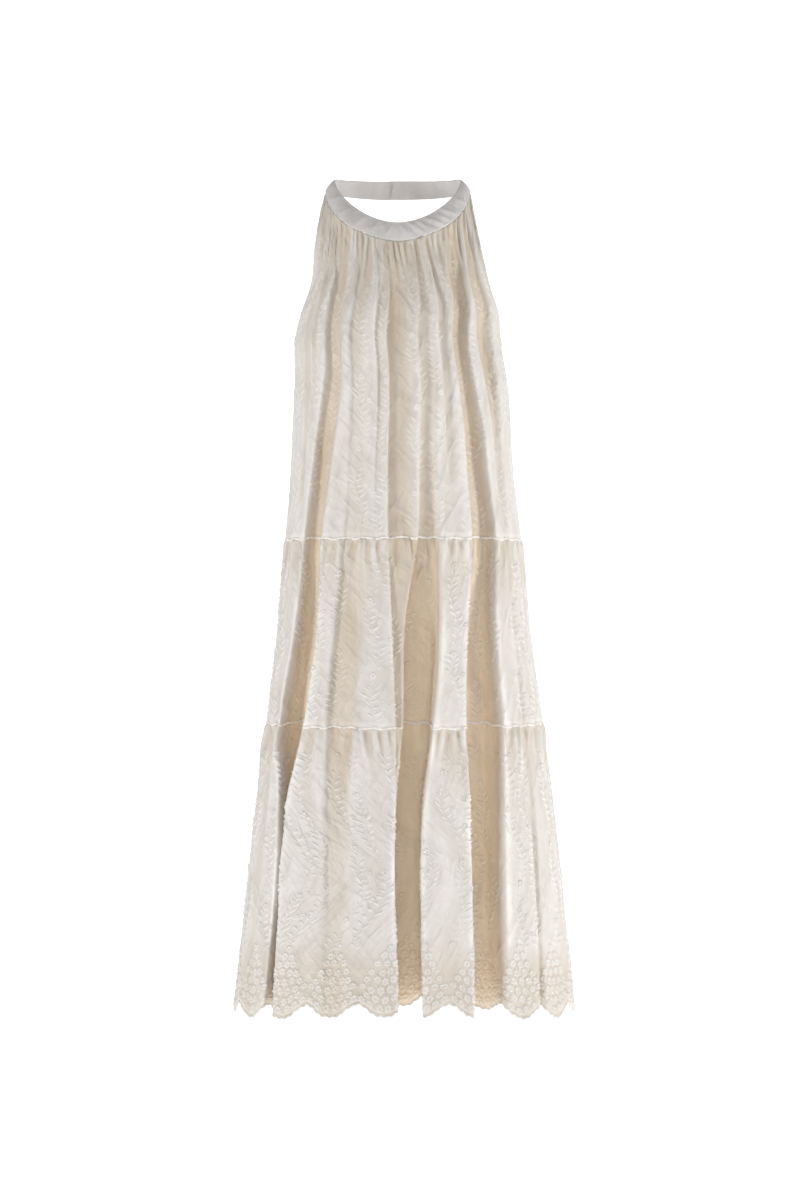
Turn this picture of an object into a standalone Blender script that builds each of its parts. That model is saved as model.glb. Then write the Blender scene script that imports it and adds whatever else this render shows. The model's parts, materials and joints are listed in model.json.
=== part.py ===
"""Tiered halter midi dress in light cotton, hollow as it hangs when it is on.

The front faces -Y, +X is on the right of someone who looks at the front, and +Z is up.
The origin is the middle of the neckband, which carries the whole dress.
An angle round the dress is 0 at centre front, 90 degrees at the +X side and 180 at centre back.
"""
from math import pi

import bmesh
import bpy
import numpy as np

# Lengths are in metres, except where a table says mm
MM = 0.001

# Walls and seams
WALL = 0.0016
BAND_WALL = 0.0024
SEAM_GAP = 0.0003
SEAM_STRIP = 0.0025
SEAM_REACH = SEAM_STRIP + 0.5 * SEAM_GAP

# Heights of the seams and of the hem, in metres below the neck
WAIST_SEAM = -0.491
KNEE_SEAM = -0.745
HEM = -1.138
HEM_RISE = {"front": 0.024, "back": 0.010}
UNDERARM = -0.205
BACK_EDGE_DIP = 0.030
BACK_EDGE_LEVEL = 0.9
PANEL_MIDDLE = {"front": 0.0, "back": pi}

# Neckband: each row is one angle from centre front, the same on both sides.
# Reach is the distance from the vertical through the neckband's middle.
BAND_COLUMNS = ("angle", "upper_reach", "upper_z", "lower_reach", "lower_z")
BAND = (
    (0.0, 0.0780, -0.0595, 0.0890, -0.0865),
    (25.0, 0.0795, -0.0515, 0.0915, -0.0770),
    (48.0, 0.0830, -0.0325, 0.0970, -0.0580),
    (70.0, 0.0865, -0.0080, 0.0995, -0.0300),
    (88.0, 0.0880, 0.0110, 0.1010, -0.0040),
    (120.0, 0.0790, 0.0200, 0.0930, -0.0010),
    (150.0, 0.0690, 0.0230, 0.0780, -0.0015),
    (180.0, 0.0650, 0.0240, 0.0730, -0.0015),
)
BAND_SHIFT = -0.003
BAND_CROWN = 0.0012
BAND_UNDER_END = -170.0
BAND_OVER_END = 190.0
BAND_LIFT_START = 135.0
BAND_LIFT_END = 164.0
BAND_LIFT = 0.0034
BAND_STEPS = 66
BAND_ROWS = 2
BAND_SHARE = 84.0
BAND_PULL_REACH = 0.15

# Button at centre back
BUTTON_RADIUS = 0.0055
BUTTON_THICKNESS = 0.0024
BUTTON_STEPS = 24
BUTTON_PROBE = 0.01

# Level sections of the cloth with its folds smoothed away, one row for each height.
# Side, front and back are the y of the outline at the sides, at centre front and at centre back.
SECTION_COLUMNS = ("z", "half_width", "centre", "side", "front", "back")
SECTIONS = (
    (0.000, 0.0965, -0.0030, -0.012, -0.0860, 0.070),
    (-0.035, 0.1030, -0.0042, -0.030, -0.0870, 0.074),
    (-0.087, 0.1123, -0.0030, -0.043, -0.0895, 0.078),
    (-0.136, 0.1216, 0.0003, -0.034, -0.1060, 0.082),
    (-0.184, 0.1390, -0.0010, -0.006, -0.1220, 0.086),
    (-0.205, 0.1420, -0.0030, 0.000, -0.1260, 0.088),
    (-0.270, 0.1480, 0.0015, 0.000, -0.1310, 0.094),
    (-0.406, 0.1555, 0.0030, 0.000, -0.1320, 0.102),
    (-0.491, 0.1645, 0.0045, 0.000, -0.1350, 0.110),
    (-0.600, 0.1745, 0.0050, 0.000, -0.1420, 0.123),
    (-0.745, 0.1925, 0.0065, 0.000, -0.1540, 0.140),
    (-0.855, 0.2070, 0.0065, 0.000, -0.1620, 0.152),
    (-0.995, 0.2220, 0.0065, 0.000, -0.1710, 0.165),
    (-1.138, 0.2365, 0.0055, 0.000, -0.1800, 0.176),
)

# Folds that run down the whole dress. Each is a recess between two flat plates of cloth.
# A row gives the angles of its left and right edges and its depth at eight heights, how wide the
# turn at its left and right edge is at the top and at the hem, and how far its two walls are
# tucked sideways under the plates, as shares of the depth.
FOLD_HEIGHTS = (-0.10, -0.25, -0.36, -0.491, -0.61, -0.745, -0.835, -1.138)
FOLD_COLUMNS = ("left edge", "right edge", "depth in mm", "softness in mm", "tuck")
FOLDS = (
    ((-47.8, -42.4, -49.8, -54.0, -56.8, -61.5, -55.5, -52.6),
     (-38.0, -34.0, -39.0, -44.0, -44.0, -47.3, -51.5, -49.2),
     (6, 10, 14, 19, 32, 38, 40, 43), (3.5, 9.0, 3.0, 4.0), (0.30, 0.10)),
    ((-27.0, -26.5, -27.0, -28.8, -31.6, -32.5, -31.0, -27.0),
     (-20.5, -19.5, -19.0, -18.1, -18.5, -22.0, -22.0, -20.0),
     (4, 4, 3, 4, 9, 8, 6, 3), (4.0, 12.0, 6.0, 12.0), (0.15, 0.0)),
    ((-6.2, -6.0, -6.8, -7.0, -5.2, -3.5, -3.2, -1.8),
     (8.0, 5.0, 4.0, 5.0, 13.0, 8.5, 5.6, 4.4),
     (6, 9, 9, 10, 9, 10, 6, 3), (2.5, 12.0, 2.5, 6.0), (0.30, 0.0)),
    ((13.7, 10.0, 9.0, 7.2, 1.8, 0.5, -2.2, -1.2),
     (22.0, 17.5, 16.0, 15.8, 15.0, 10.2, 6.4, 5.6),
     (3, 5, 7, 13, 31, 36, 41, 46), (4.0, 7.0, 3.0, 3.0), (0.20, 0.25)),
    ((38.0, 32.2, 35.7, 36.0, 31.0, 26.6, 26.0, 23.7),
     (49.0, 40.5, 46.4, 48.5, 44.1, 42.0, 39.0, 33.8),
     (10, 14, 17, 20, 33, 40, 42, 45), (8.0, 3.0, 3.0, 8.0), (0.15, 0.15)),
    ((52.0, 50.1, 55.4, 57.0, 57.0, 57.0, 57.0, 57.0),
     (66.0, 62.7, 63.0, 61.0, 60.0, 60.0, 60.0, 60.0),
     (6, 13, 8, 2, 0, 0, 0, 0), (3.0, 6.0, 3.0, 6.0), (0.30, 0.0)),
    ((106.0, 107.0, 106.0, 104.0, 105.0, 107.0, 106.0, 104.0),
     (114.0, 115.0, 115.0, 116.0, 117.0, 117.0, 114.0, 111.0),
     (3, 4, 6, 11, 20, 28, 33, 38), (4.0, 8.0, 4.0, 6.0), (0.2, 0.1)),
    ((131.0, 131.0, 130.0, 129.0, 127.0, 128.0, 129.0, 130.0),
     (138.0, 138.0, 138.0, 138.0, 137.0, 137.0, 136.0, 136.0),
     (1, 2, 3, 6, 11, 12, 10, 9), (7.0, 9.0, 7.0, 10.0), (0.0, 0.1)),
    ((153.0, 152.0, 151.0, 151.0, 152.0, 152.0, 154.0, 153.0),
     (159.0, 159.0, 160.0, 162.0, 163.0, 162.0, 161.0, 159.0),
     (4, 5, 8, 13, 27, 35, 39, 44), (8.0, 4.0, 6.0, 3.5), (0.1, 0.25)),
    ((178.0, 177.0, 178.0, 179.0, 176.0, 175.0, 176.0, 177.0),
     (185.0, 185.0, 186.0, 187.0, 186.0, 184.0, 183.0, 182.0),
     (2, 3, 4, 7, 13, 15, 13, 10), (5.0, 9.0, 5.0, 12.0), (0.2, 0.0)),
    ((201.0, 201.0, 200.0, 199.0, 198.0, 199.0, 201.0, 203.0),
     (207.0, 208.0, 208.0, 209.0, 210.0, 209.0, 208.0, 208.5),
     (3, 5, 8, 12, 25, 34, 38, 42), (4.0, 7.0, 3.0, 6.0), (0.25, 0.1)),
    ((224.0, 224.0, 223.0, 222.0, 223.0, 225.0, 225.0, 224.0),
     (231.0, 231.0, 232.0, 232.0, 232.0, 232.0, 231.0, 230.0),
     (1, 2, 3, 6, 10, 13, 12, 10), (8.0, 8.0, 9.0, 9.0), (0.0, 0.0)),
    ((246.0, 246.0, 245.0, 245.0, 246.0, 247.0, 248.0, 249.0),
     (253.0, 254.0, 255.0, 256.0, 257.0, 257.0, 256.0, 256.0),
     (3, 4, 6, 10, 19, 27, 32, 37), (7.0, 4.0, 5.0, 4.0), (0.1, 0.2)),
)
LEAST_SOFTNESS = 6.0
LEAST_HALF_WIDTH = 0.007
TUCK_SHARE = 0.5
FOLD_RISE = 0.12

# The lengthwise threads are read at these heights, from this many places round each panel
THREAD_TOP = 0.0
THREAD_BOTTOM = -1.14
THREAD_ROWS = 58
THREAD_COUNT = 601
THREAD_STEPS = 2401

# Gathers below a seam: how many each panel has, how high they stand, how far they run down and
# at what share of the panel's width from a side seam they begin and are full.
# A panel has three columns of points for each gather, and panels that share a seam have the same.
GATHER_HEIGHT = 0.0030
NECK_GATHER_HEIGHT = 0.0022
GATHER_START = 0.013
GATHER_RUN = 0.040
GATHER_FREE_SHARE = 0.010
GATHER_FULL_SHARE = 0.050
GATHERS = {"front": 29, "back": 25}
# Slow waves that make the gathers uneven: what they change, their size, waves in a panel and phase
DRIFT_WAVES = ((0.22, 3.1, 1.0), (0.13, 7.3, 2.0))
HEIGHT_WAVE = (0.30, 4.3, 3.0)
RUN_WAVE = (0.35, 5.7, 1.0)
MEAN_GATHER = 0.80
COLUMNS_PER_GATHER = 3
# Where the slow waves of each gathered edge start, so that no two edges are alike
NECK_SEED = 0.15
BACK_SEED = 0.40
TIER_SEEDS = {"front": (0.27, 0.77), "back": (0.61, 1.11)}

# Scalloped hem: lobes cut along the lower edge
LOBE_WIDTH = 0.074
LOBE_DEPTH = 0.017
LOBE_REACH = 0.06
LOBE_SHIFT = 0.30
LOBE_POWER = 0.6
HEM_DROP = 0.007
HEM_DROP_ANGLE = 50.0
HEM_DROP_SPREAD = 13.0

# Distances down the cloth at which each panel has a row of points, in metres
UPPER_FRONT_ROWS = (0.0, 0.0025, 0.012, 0.030, 0.065, 0.110, 0.165, 0.240, 0.320, 0.4025, 0.405)
UPPER_BACK_ROWS = (0.0, 0.012, 0.045, 0.110, 0.190, 0.268, 0.2705)
MIDDLE_ROWS = (0.0, 0.0025, 0.013, 0.036, 0.090, 0.170, 0.2515, 0.254)
BOTTOM_ROWS = (0.0, 0.0025, 0.013, 0.036, 0.100, 0.210, 0.330, 0.389)

# Colours, in linear light
CREAM = (0.78, 0.74, 0.67)
BAND_CREAM = (0.74, 0.73, 0.72)
SHELL_WHITE = (0.82, 0.80, 0.75)


def clear_scene():
    """Remove every object, and then the mesh data that they leave behind."""
    for thing in list(bpy.data.objects):
        bpy.data.objects.remove(thing, do_unlink=True)
    for mesh in list(bpy.data.meshes):
        bpy.data.meshes.remove(mesh)


def collection(name):
    """Return a new collection that is linked into the scene."""
    group = bpy.data.collections.new(name)
    bpy.context.scene.collection.children.link(group)
    return group


def material(name, colour, roughness):
    """Return a Principled BSDF material with one plain colour."""
    mat = bpy.data.materials.new(name)
    mat.use_nodes = True
    shader = mat.node_tree.nodes["Principled BSDF"]
    shader.inputs["Base Color"].default_value = (*colour, 1.0)
    shader.inputs["Roughness"].default_value = roughness
    shader.inputs["Metallic"].default_value = 0.0
    return mat


def smooth_step(start, end, value):
    """Rise from 0 at start to 1 at end with level ends."""
    share = np.clip((value - start) / (end - start), 0.0, 1.0)
    return share * share * (3.0 - 2.0 * share)


def curve_through(places, values, at):
    """Read a smooth curve through the given values, with a slope from each value's neighbours."""
    places = np.asarray(places, dtype=float)
    values = np.asarray(values, dtype=float)
    order = np.argsort(places)
    places = places[order]
    values = values[order]
    slopes = np.gradient(values, places)
    at = np.clip(at, places[0], places[-1])
    cell = np.clip(np.searchsorted(places, at, side="right") - 1, 0, len(places) - 2)
    span = places[cell + 1] - places[cell]
    share = (at - places[cell]) / span
    start = (1.0 + 2.0 * share) * (1.0 - share) ** 2 * values[cell]
    start_slope = share * (1.0 - share) ** 2 * span * slopes[cell]
    end = share ** 2 * (3.0 - 2.0 * share) * values[cell + 1]
    end_slope = share ** 2 * (share - 1.0) * span * slopes[cell + 1]
    return start + start_slope + end + end_slope


def section(name, z):
    """Read one column of the section table at the heights z."""
    column = SECTION_COLUMNS.index(name)
    return curve_through([row[0] for row in SECTIONS], [row[column] for row in SECTIONS], z)


def ring(angle, z):
    """Give the smooth cloth, without folds, and its outward direction, at an angle and a height.

    Each level section is half an ellipse in front and half an ellipse behind, which share
    their width and meet at the sides.
    """
    half_width = section("half_width", z)
    side = np.where(z > UNDERARM, section("side", z), 0.0)
    front = side - section("front", z)
    back = section("back", z) - side
    depth = np.where(np.cos(angle) > 0.0, front, back)
    x = section("centre", z) + half_width * np.sin(angle)
    y = side - depth * np.cos(angle)
    out_x = depth * np.sin(angle)
    out_y = -half_width * np.cos(angle)
    length = np.hypot(out_x, out_y)
    return x, y, out_x / length, out_y / length


def folds(angle, z):
    """Add up how far the folds take the cloth inwards, and sideways, at an angle and a height.

    A recess's profile is its depth times a tanh step at its left edge and one at its right edge.
    A distance from an edge is the turn from it times the length of the ring for a unit of turn.
    """
    inward = np.zeros_like(angle)
    sideways = np.zeros_like(angle)
    half_width = section("half_width", z)
    front = -section("front", z)
    back = section("back", z)
    share = np.clip((z - FOLD_HEIGHTS[0]) / (FOLD_HEIGHTS[-1] - FOLD_HEIGHTS[0]), 0.0, 1.0)
    for lefts, rights, depths, softness, tuck in FOLDS:
        left = np.radians(curve_through(FOLD_HEIGHTS, lefts, z))
        right = np.radians(curve_through(FOLD_HEIGHTS, rights, z))
        depth = MM * np.maximum(curve_through(FOLD_HEIGHTS, depths, z), 0.0)
        middle = 0.5 * (left + right)
        across = np.where(np.cos(middle) > 0.0, front, back)
        speed = np.hypot(half_width * np.cos(middle), across * np.sin(middle))
        turn = (angle - middle + pi) % (2.0 * pi) - pi
        half = np.maximum(0.5 * (right - left) * speed, LEAST_HALF_WIDTH)
        place = turn * speed
        soft = MM * np.maximum(softness, LEAST_SOFTNESS)
        soft_left = soft[0] + (soft[2] - soft[0]) * share
        soft_right = soft[1] + (soft[3] - soft[1]) * share
        left_step = 0.5 + 0.5 * np.tanh(2.0 * (place + half) / soft_left)
        right_step = 0.5 + 0.5 * np.tanh(2.0 * (half - place) / soft_right)
        profile = depth * left_step * right_step
        over = 0.5 + 0.5 * np.clip(place / half, -1.0, 1.0)
        inward += profile
        sideways += TUCK_SHARE * profile * (tuck[1] * over - tuck[0] * (1.0 - over))
    return inward, sideways


def draped(angle, z, outward=0.0):
    """Give the points of the cloth with its folds, moved outward by a small distance."""
    x, y, out_x, out_y = ring(angle, z)
    inward, sideways = folds(angle, z)
    x = x + out_x * (outward - inward) - out_y * sideways
    y = y + out_y * (outward - inward) + out_x * sideways
    return np.stack([x, y, z], axis=-1)


def seam_height(angle, base):
    """Give the height of a tier seam, which rides up a little inside each fold."""
    inward, _ = folds(angle, np.full_like(angle, base))
    return base + FOLD_RISE * inward


def above_seam(seam_line, height, down, length):
    """Put a panel's last row half a gap above its seam, and leave the other rows at their height."""
    return np.where(down > length - 0.5 * SEAM_STRIP, seam_line + 0.5 * SEAM_GAP, height)


def thread_table(side):
    """Give the angles of evenly spaced lengthwise threads, and the width of cloth, at each height."""
    middle = PANEL_MIDDLE[side]
    fine = np.linspace(middle - 0.5 * pi, middle + 0.5 * pi, THREAD_STEPS)
    shares = np.linspace(0.0, 1.0, THREAD_COUNT)
    angles = []
    widths = []
    for height in np.linspace(THREAD_TOP, THREAD_BOTTOM, THREAD_ROWS):
        points = draped(fine, np.full_like(fine, height))
        steps = np.linalg.norm(np.diff(points, axis=0), axis=1)
        length = np.concatenate([[0.0], np.cumsum(steps)])
        angles.append(np.interp(shares, length / length[-1], fine))
        widths.append(length[-1])
    return np.array(angles), np.array(widths)


def thread_angle(threads, across, z):
    """Read the angle of a thread, given by its share of the panel's width, at a height."""
    angles, _ = threads
    row = (z - THREAD_TOP) / (THREAD_BOTTOM - THREAD_TOP) * (THREAD_ROWS - 1)
    row = np.clip(row, 0.0, THREAD_ROWS - 1.001)
    column = np.clip(across * (THREAD_COUNT - 1), 0.0, THREAD_COUNT - 1.001)
    r = row.astype(int)
    c = column.astype(int)
    upper = angles[r, c] + (angles[r, c + 1] - angles[r, c]) * (column - c)
    lower = angles[r + 1, c] + (angles[r + 1, c + 1] - angles[r + 1, c]) * (column - c)
    return upper + (lower - upper) * (row - r)


def cloth_width(threads, z):
    """Give the width of cloth that a panel has at a height, measured along its folds."""
    _, widths = threads
    return float(np.interp(-z, -np.linspace(THREAD_TOP, THREAD_BOTTOM, THREAD_ROWS), widths))


def slow_wave(across, seed, size, count, phase):
    """Give a sine of the given size with a number of waves across the panel and a phase."""
    return size * np.sin(2.0 * pi * (count * across + phase * seed))


def gathers(across, down, count, tall, seed):
    """Give the outward waves of a gathered edge, which fade with the distance down.

    They are uneven: the phase runs ahead and behind by slow waves, and so does the height.
    """
    drift = sum(slow_wave(across, seed, *wave) for wave in DRIFT_WAVES)
    height = MEAN_GATHER + slow_wave(across, seed, *HEIGHT_WAVE)
    run = GATHER_RUN * (1.0 + slow_wave(across, seed, *RUN_WAVE))
    wave = np.sin(2.0 * pi * (count * across + drift))
    rise = smooth_step(SEAM_STRIP, GATHER_START, down)
    fade = np.exp(-(np.maximum(down - GATHER_START, 0.0) / run) ** 1.5)
    from_side = np.minimum(across, 1.0 - across)
    ends = smooth_step(GATHER_FREE_SHARE, GATHER_FULL_SHARE, from_side)
    return tall * height * wave * rise * fade * ends


def close_seams(points, across):
    """Move a panel's two side edges half a seam gap away from the side seam, along y."""
    shift = 0.5 * SEAM_GAP
    toward = np.where(points[..., 1].mean() < 0.0, -shift, shift)
    edge = (across < 1e-6) | (across > 1.0 - 1e-6)
    points[..., 1] += np.where(edge, toward, 0.0)
    return points


def band_edge(angle, edge):
    """Give points on the neckband's upper or lower edge at angles in degrees from centre front."""
    turned = np.abs((angle + 180.0) % 360.0 - 180.0)
    angles = [row[0] for row in BAND]
    reach_column = BAND_COLUMNS.index(edge + "_reach")
    height_column = BAND_COLUMNS.index(edge + "_z")
    reach = curve_through(angles, [row[reach_column] for row in BAND], turned)
    height = curve_through(angles, [row[height_column] for row in BAND], turned)
    turn = np.radians(angle)
    return np.stack([BAND_SHIFT + reach * np.sin(turn), -reach * np.cos(turn), height], axis=-1)


def band_form(across, down):
    """Give the neckband's points: a strip between its two edges, whose last part lies on its first."""
    angle = BAND_UNDER_END + (BAND_OVER_END - BAND_UNDER_END) * across
    upper = band_edge(angle, "upper")
    lower = band_edge(angle, "lower")
    points = upper + (lower - upper) * down[..., None]
    turn = np.radians(angle)
    along = np.stack([np.cos(turn), np.sin(turn), np.zeros_like(turn)], axis=-1)
    normal = np.cross(along, upper - lower)
    normal /= np.linalg.norm(normal, axis=-1, keepdims=True)
    crown = BAND_CROWN * np.sin(pi * down)
    lift = BAND_LIFT * smooth_step(BAND_LIFT_START, BAND_LIFT_END, angle)
    return points + normal * (crown + lift)[..., None]


def upper_front(threads):
    """Return the form of the upper front: gathered to the band, then hanging to the waist seam.

    Near its top the cloth is drawn in from the smooth form to the band's lower edge.
    """
    length = UPPER_FRONT_ROWS[-1]

    def form(across, down):
        band_angle = BAND_SHARE * (2.0 * across - 1.0)
        upper = band_edge(band_angle, "upper")
        lower = band_edge(band_angle, "lower")
        slope = lower - upper
        slope /= np.linalg.norm(slope, axis=-1, keepdims=True)
        seam = lower + slope * SEAM_GAP
        strip = lower + slope * (SEAM_GAP + SEAM_STRIP)
        share = np.clip((down - SEAM_STRIP) / (length - 2.0 * SEAM_STRIP), 0.0, 1.0)
        nominal = strip[..., 2] + (WAIST_SEAM - strip[..., 2]) * share
        angle = thread_angle(threads, across, nominal)
        seam_line = seam_height(angle, WAIST_SEAM)
        settled = strip[..., 2] + (seam_line - strip[..., 2]) * share
        waves = gathers(across, down, GATHERS["front"], NECK_GATHER_HEIGHT, NECK_SEED)
        points = draped(angle, settled, waves)
        points[..., 2] = above_seam(seam_line, settled + SEAM_REACH * share, down, length)
        top_angle = thread_angle(threads, across, strip[..., 2])
        pull = 1.0 - smooth_step(SEAM_STRIP, BAND_PULL_REACH, down)
        points += (strip - draped(top_angle, strip[..., 2])) * pull[..., None]
        points = np.where((down < 0.5 * SEAM_STRIP)[..., None], seam, points)
        return close_seams(points, across)

    return form


def upper_back(threads):
    """Return the form of the upper back: a top edge drawn in by elastic, down to the waist seam."""
    length = UPPER_BACK_ROWS[-1]

    def form(across, down):
        share = np.clip(down / (length - SEAM_STRIP), 0.0, 1.0)
        angle = thread_angle(threads, across, UNDERARM + (WAIST_SEAM - UNDERARM) * share)
        top = UNDERARM - BACK_EDGE_DIP * smooth_step(0.0, BACK_EDGE_LEVEL, -np.cos(angle))
        seam_line = seam_height(angle, WAIST_SEAM)
        settled = top + (seam_line - top) * share
        waves = gathers(across, down + GATHER_START, GATHERS["back"], GATHER_HEIGHT, BACK_SEED)
        points = draped(angle, settled, waves)
        points[..., 2] = above_seam(seam_line, settled + SEAM_REACH * share, down, length)
        return close_seams(points, across)

    return form


def hem_height(side, angle, across, width, down, length):
    """Give the hem's height: higher at the middle, lower at one fold, cut in lobes near the edge."""
    rise = HEM_RISE[side] * np.cos(angle) ** 2
    away = (np.degrees(angle) - HEM_DROP_ANGLE) / HEM_DROP_SPREAD
    drop = HEM_DROP * np.exp(-away ** 2)
    wave = np.abs(np.sin(pi * (across * width / LOBE_WIDTH + LOBE_SHIFT))) ** LOBE_POWER
    near = smooth_step(length - LOBE_REACH, length, down)
    return seam_height(angle, HEM) + rise - drop + LOBE_DEPTH * (0.5 - wave) * near


def lower_tier(side, threads, top, bottom, length, seed):
    """Return the form of a lower tier's panel between two heights, gathered at its top.

    The last row is the next seam, or the scalloped hem.
    """
    width = cloth_width(threads, bottom)
    last = 0.0 if bottom == HEM else SEAM_STRIP

    def form(across, down):
        share = np.clip((down - SEAM_STRIP) / (length - SEAM_STRIP - last), 0.0, 1.0)
        angle = thread_angle(threads, across, top + (bottom - top) * share)
        start = seam_height(angle, top)
        if bottom == HEM:
            end = hem_height(side, angle, across, width, down, length)
        else:
            end = seam_height(angle, bottom)
        settled = start + (end - start) * share
        points = draped(angle, settled, gathers(across, down, GATHERS[side], GATHER_HEIGHT, seed))
        height = settled - SEAM_REACH * (1.0 - share)
        height = np.where(down < 0.5 * SEAM_STRIP, start - 0.5 * SEAM_GAP, height)
        if last:
            height = above_seam(end, height + SEAM_REACH * share, down, length)
        points[..., 2] = height
        return close_seams(points, across)

    return form


def cloth_object(name, group, mat, form, columns, rows, wall):
    """Bend a flat grid into a cloth panel and give it its wall.

    Each vertex of the grid has its place across the panel and its row's distance down the cloth.
    """
    rows = np.asarray(rows, dtype=float)
    bm = bmesh.new()
    bmesh.ops.create_grid(bm, x_segments=columns, y_segments=len(rows) - 1, size=0.5)
    mesh = bpy.data.meshes.new(name)
    bm.to_mesh(mesh)
    bm.free()
    flat = np.empty(len(mesh.vertices) * 3)
    mesh.vertices.foreach_get("co", flat)
    flat = flat.reshape(-1, 3)
    across = np.clip(flat[:, 0] + 0.5, 0.0, 1.0)
    row = np.clip((0.5 - flat[:, 1]) * (len(rows) - 1), 0.0, len(rows) - 1.0)
    down = np.interp(row, np.arange(len(rows)), rows)
    mesh.vertices.foreach_set("co", form(across, down).ravel())
    mesh.polygons.foreach_set("use_smooth", [True] * len(mesh.polygons))
    mesh.materials.append(mat)
    mesh.update()
    thing = bpy.data.objects.new(name, mesh)
    group.objects.link(thing)
    shell = thing.modifiers.new("wall", "SOLIDIFY")
    shell.thickness = wall
    shell.offset = 0.0
    return thing


def make_neckband(group, mat):
    """Make the neckband, a double strip that closes at centre back."""
    rows = np.linspace(0.0, 1.0, BAND_ROWS + 1)
    cloth_object("neckband", group, mat, band_form, BAND_STEPS, rows, BAND_WALL)


def make_button(group, mat):
    """Make the flat button that lies on the overlap at centre back."""
    across = (180.0 - BAND_UNDER_END) / (BAND_OVER_END - BAND_UNDER_END)
    places = across + BUTTON_PROBE * np.array([-1.0, 0.0, 1.0])
    line = band_form(places, np.full(3, 0.5))
    rim = band_form(np.array([across, across]), 0.5 + BUTTON_PROBE * np.array([-1.0, 1.0]))
    along = line[2] - line[0]
    normal = np.cross(along, rim[0] - rim[1])
    normal /= np.linalg.norm(normal)
    centre = line[1] + normal * (0.5 * BAND_WALL + SEAM_GAP + 0.5 * BUTTON_THICKNESS)
    bm = bmesh.new()
    bmesh.ops.create_cone(bm, cap_ends=True, segments=BUTTON_STEPS, radius1=BUTTON_RADIUS,
                          radius2=BUTTON_RADIUS, depth=BUTTON_THICKNESS)
    mesh = bpy.data.meshes.new("neck_button")
    bm.to_mesh(mesh)
    bm.free()
    mesh.materials.append(mat)
    button = bpy.data.objects.new("neck_button", mesh)
    button.location = centre
    button.rotation_euler = (-np.arctan2(normal[1], normal[2]), 0.0, 0.0)
    group.objects.link(button)


def make_dress():
    """Make each sewn piece of the dress as its own object."""
    clear_scene()
    group = collection("tiered_halter_dress")
    cream = material("cream_cotton", CREAM, 0.85)
    smooth = material("band_cotton", BAND_CREAM, 0.7)
    shell = material("button_shell", SHELL_WHITE, 0.35)
    make_neckband(group, smooth)
    make_button(group, shell)
    for side, (waist_seed, knee_seed) in TIER_SEEDS.items():
        threads = thread_table(side)
        columns = GATHERS[side] * COLUMNS_PER_GATHER
        if side == "front":
            cloth_object("upper_front", group, cream, upper_front(threads), columns,
                         UPPER_FRONT_ROWS, WALL)
        else:
            cloth_object("upper_back", group, cream, upper_back(threads), columns,
                         UPPER_BACK_ROWS, WALL)
        middle = lower_tier(side, threads, WAIST_SEAM, KNEE_SEAM, MIDDLE_ROWS[-1], waist_seed)
        cloth_object("middle_" + side, group, cream, middle, columns, MIDDLE_ROWS, WALL)
        bottom = lower_tier(side, threads, KNEE_SEAM, HEM, BOTTOM_ROWS[-1], knee_seed)
        cloth_object("bottom_" + side, group, cream, bottom, columns, BOTTOM_ROWS, WALL)


make_dress()
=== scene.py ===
# %% [markdown]
# # A tiered halter midi dress in embroidered cotton
#
# The real dress is light cream cotton: a smooth neckband, an upper part gathered into it, and two
# wide tiers, each gathered onto the one above. It hangs hollow, as it does when it is on.
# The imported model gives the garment's plain walls. This lesson keeps their form and adds what a
# rigid model leaves out: sharp fold edges, fine gathers, seams, embroidery and the finish.
# The front faces -Y, +Z is up, and every length is in metres.

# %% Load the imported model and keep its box
import json
from math import pi

import bmesh
import bpy
import numpy as np
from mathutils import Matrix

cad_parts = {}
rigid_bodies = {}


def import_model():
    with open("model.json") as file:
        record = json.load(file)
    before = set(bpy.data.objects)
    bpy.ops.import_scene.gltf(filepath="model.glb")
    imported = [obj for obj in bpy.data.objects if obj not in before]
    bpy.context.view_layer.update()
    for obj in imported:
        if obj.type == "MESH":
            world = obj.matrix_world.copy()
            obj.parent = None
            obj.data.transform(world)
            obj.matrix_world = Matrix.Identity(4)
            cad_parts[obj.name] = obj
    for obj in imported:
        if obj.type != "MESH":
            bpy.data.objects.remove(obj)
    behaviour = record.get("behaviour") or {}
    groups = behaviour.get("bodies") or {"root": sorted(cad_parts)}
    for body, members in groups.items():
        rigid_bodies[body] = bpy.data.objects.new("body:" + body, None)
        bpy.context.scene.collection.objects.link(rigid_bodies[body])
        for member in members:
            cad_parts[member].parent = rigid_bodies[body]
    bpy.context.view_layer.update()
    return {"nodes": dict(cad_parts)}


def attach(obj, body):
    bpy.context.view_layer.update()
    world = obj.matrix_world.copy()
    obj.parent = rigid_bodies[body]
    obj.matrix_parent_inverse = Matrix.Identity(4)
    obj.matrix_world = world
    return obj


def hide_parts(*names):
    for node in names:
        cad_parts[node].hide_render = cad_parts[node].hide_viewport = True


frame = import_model()
print("nodes:", sorted(frame["nodes"]))

# %% [markdown]
# ## The camera
#
# The picture is taken level with the middle of the dress, from straight in front. One metre at
# the dress is 714.3 of the picture's 1198 rows, so from 3 m away the lens is about 64 mm on a
# 36 mm frame. A long lens from further off would flatten the folds, and a short one would
# spread the hem, so the distance is a matter of how the hem's near and far folds overlap.

# %% Camera
PICTURE_ROWS = 1198.0
ROWS_PER_METRE = 714.3
CAMERA_DISTANCE = 3.0
CAMERA_HEIGHT = -0.573
SENSOR = 36.0

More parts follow.
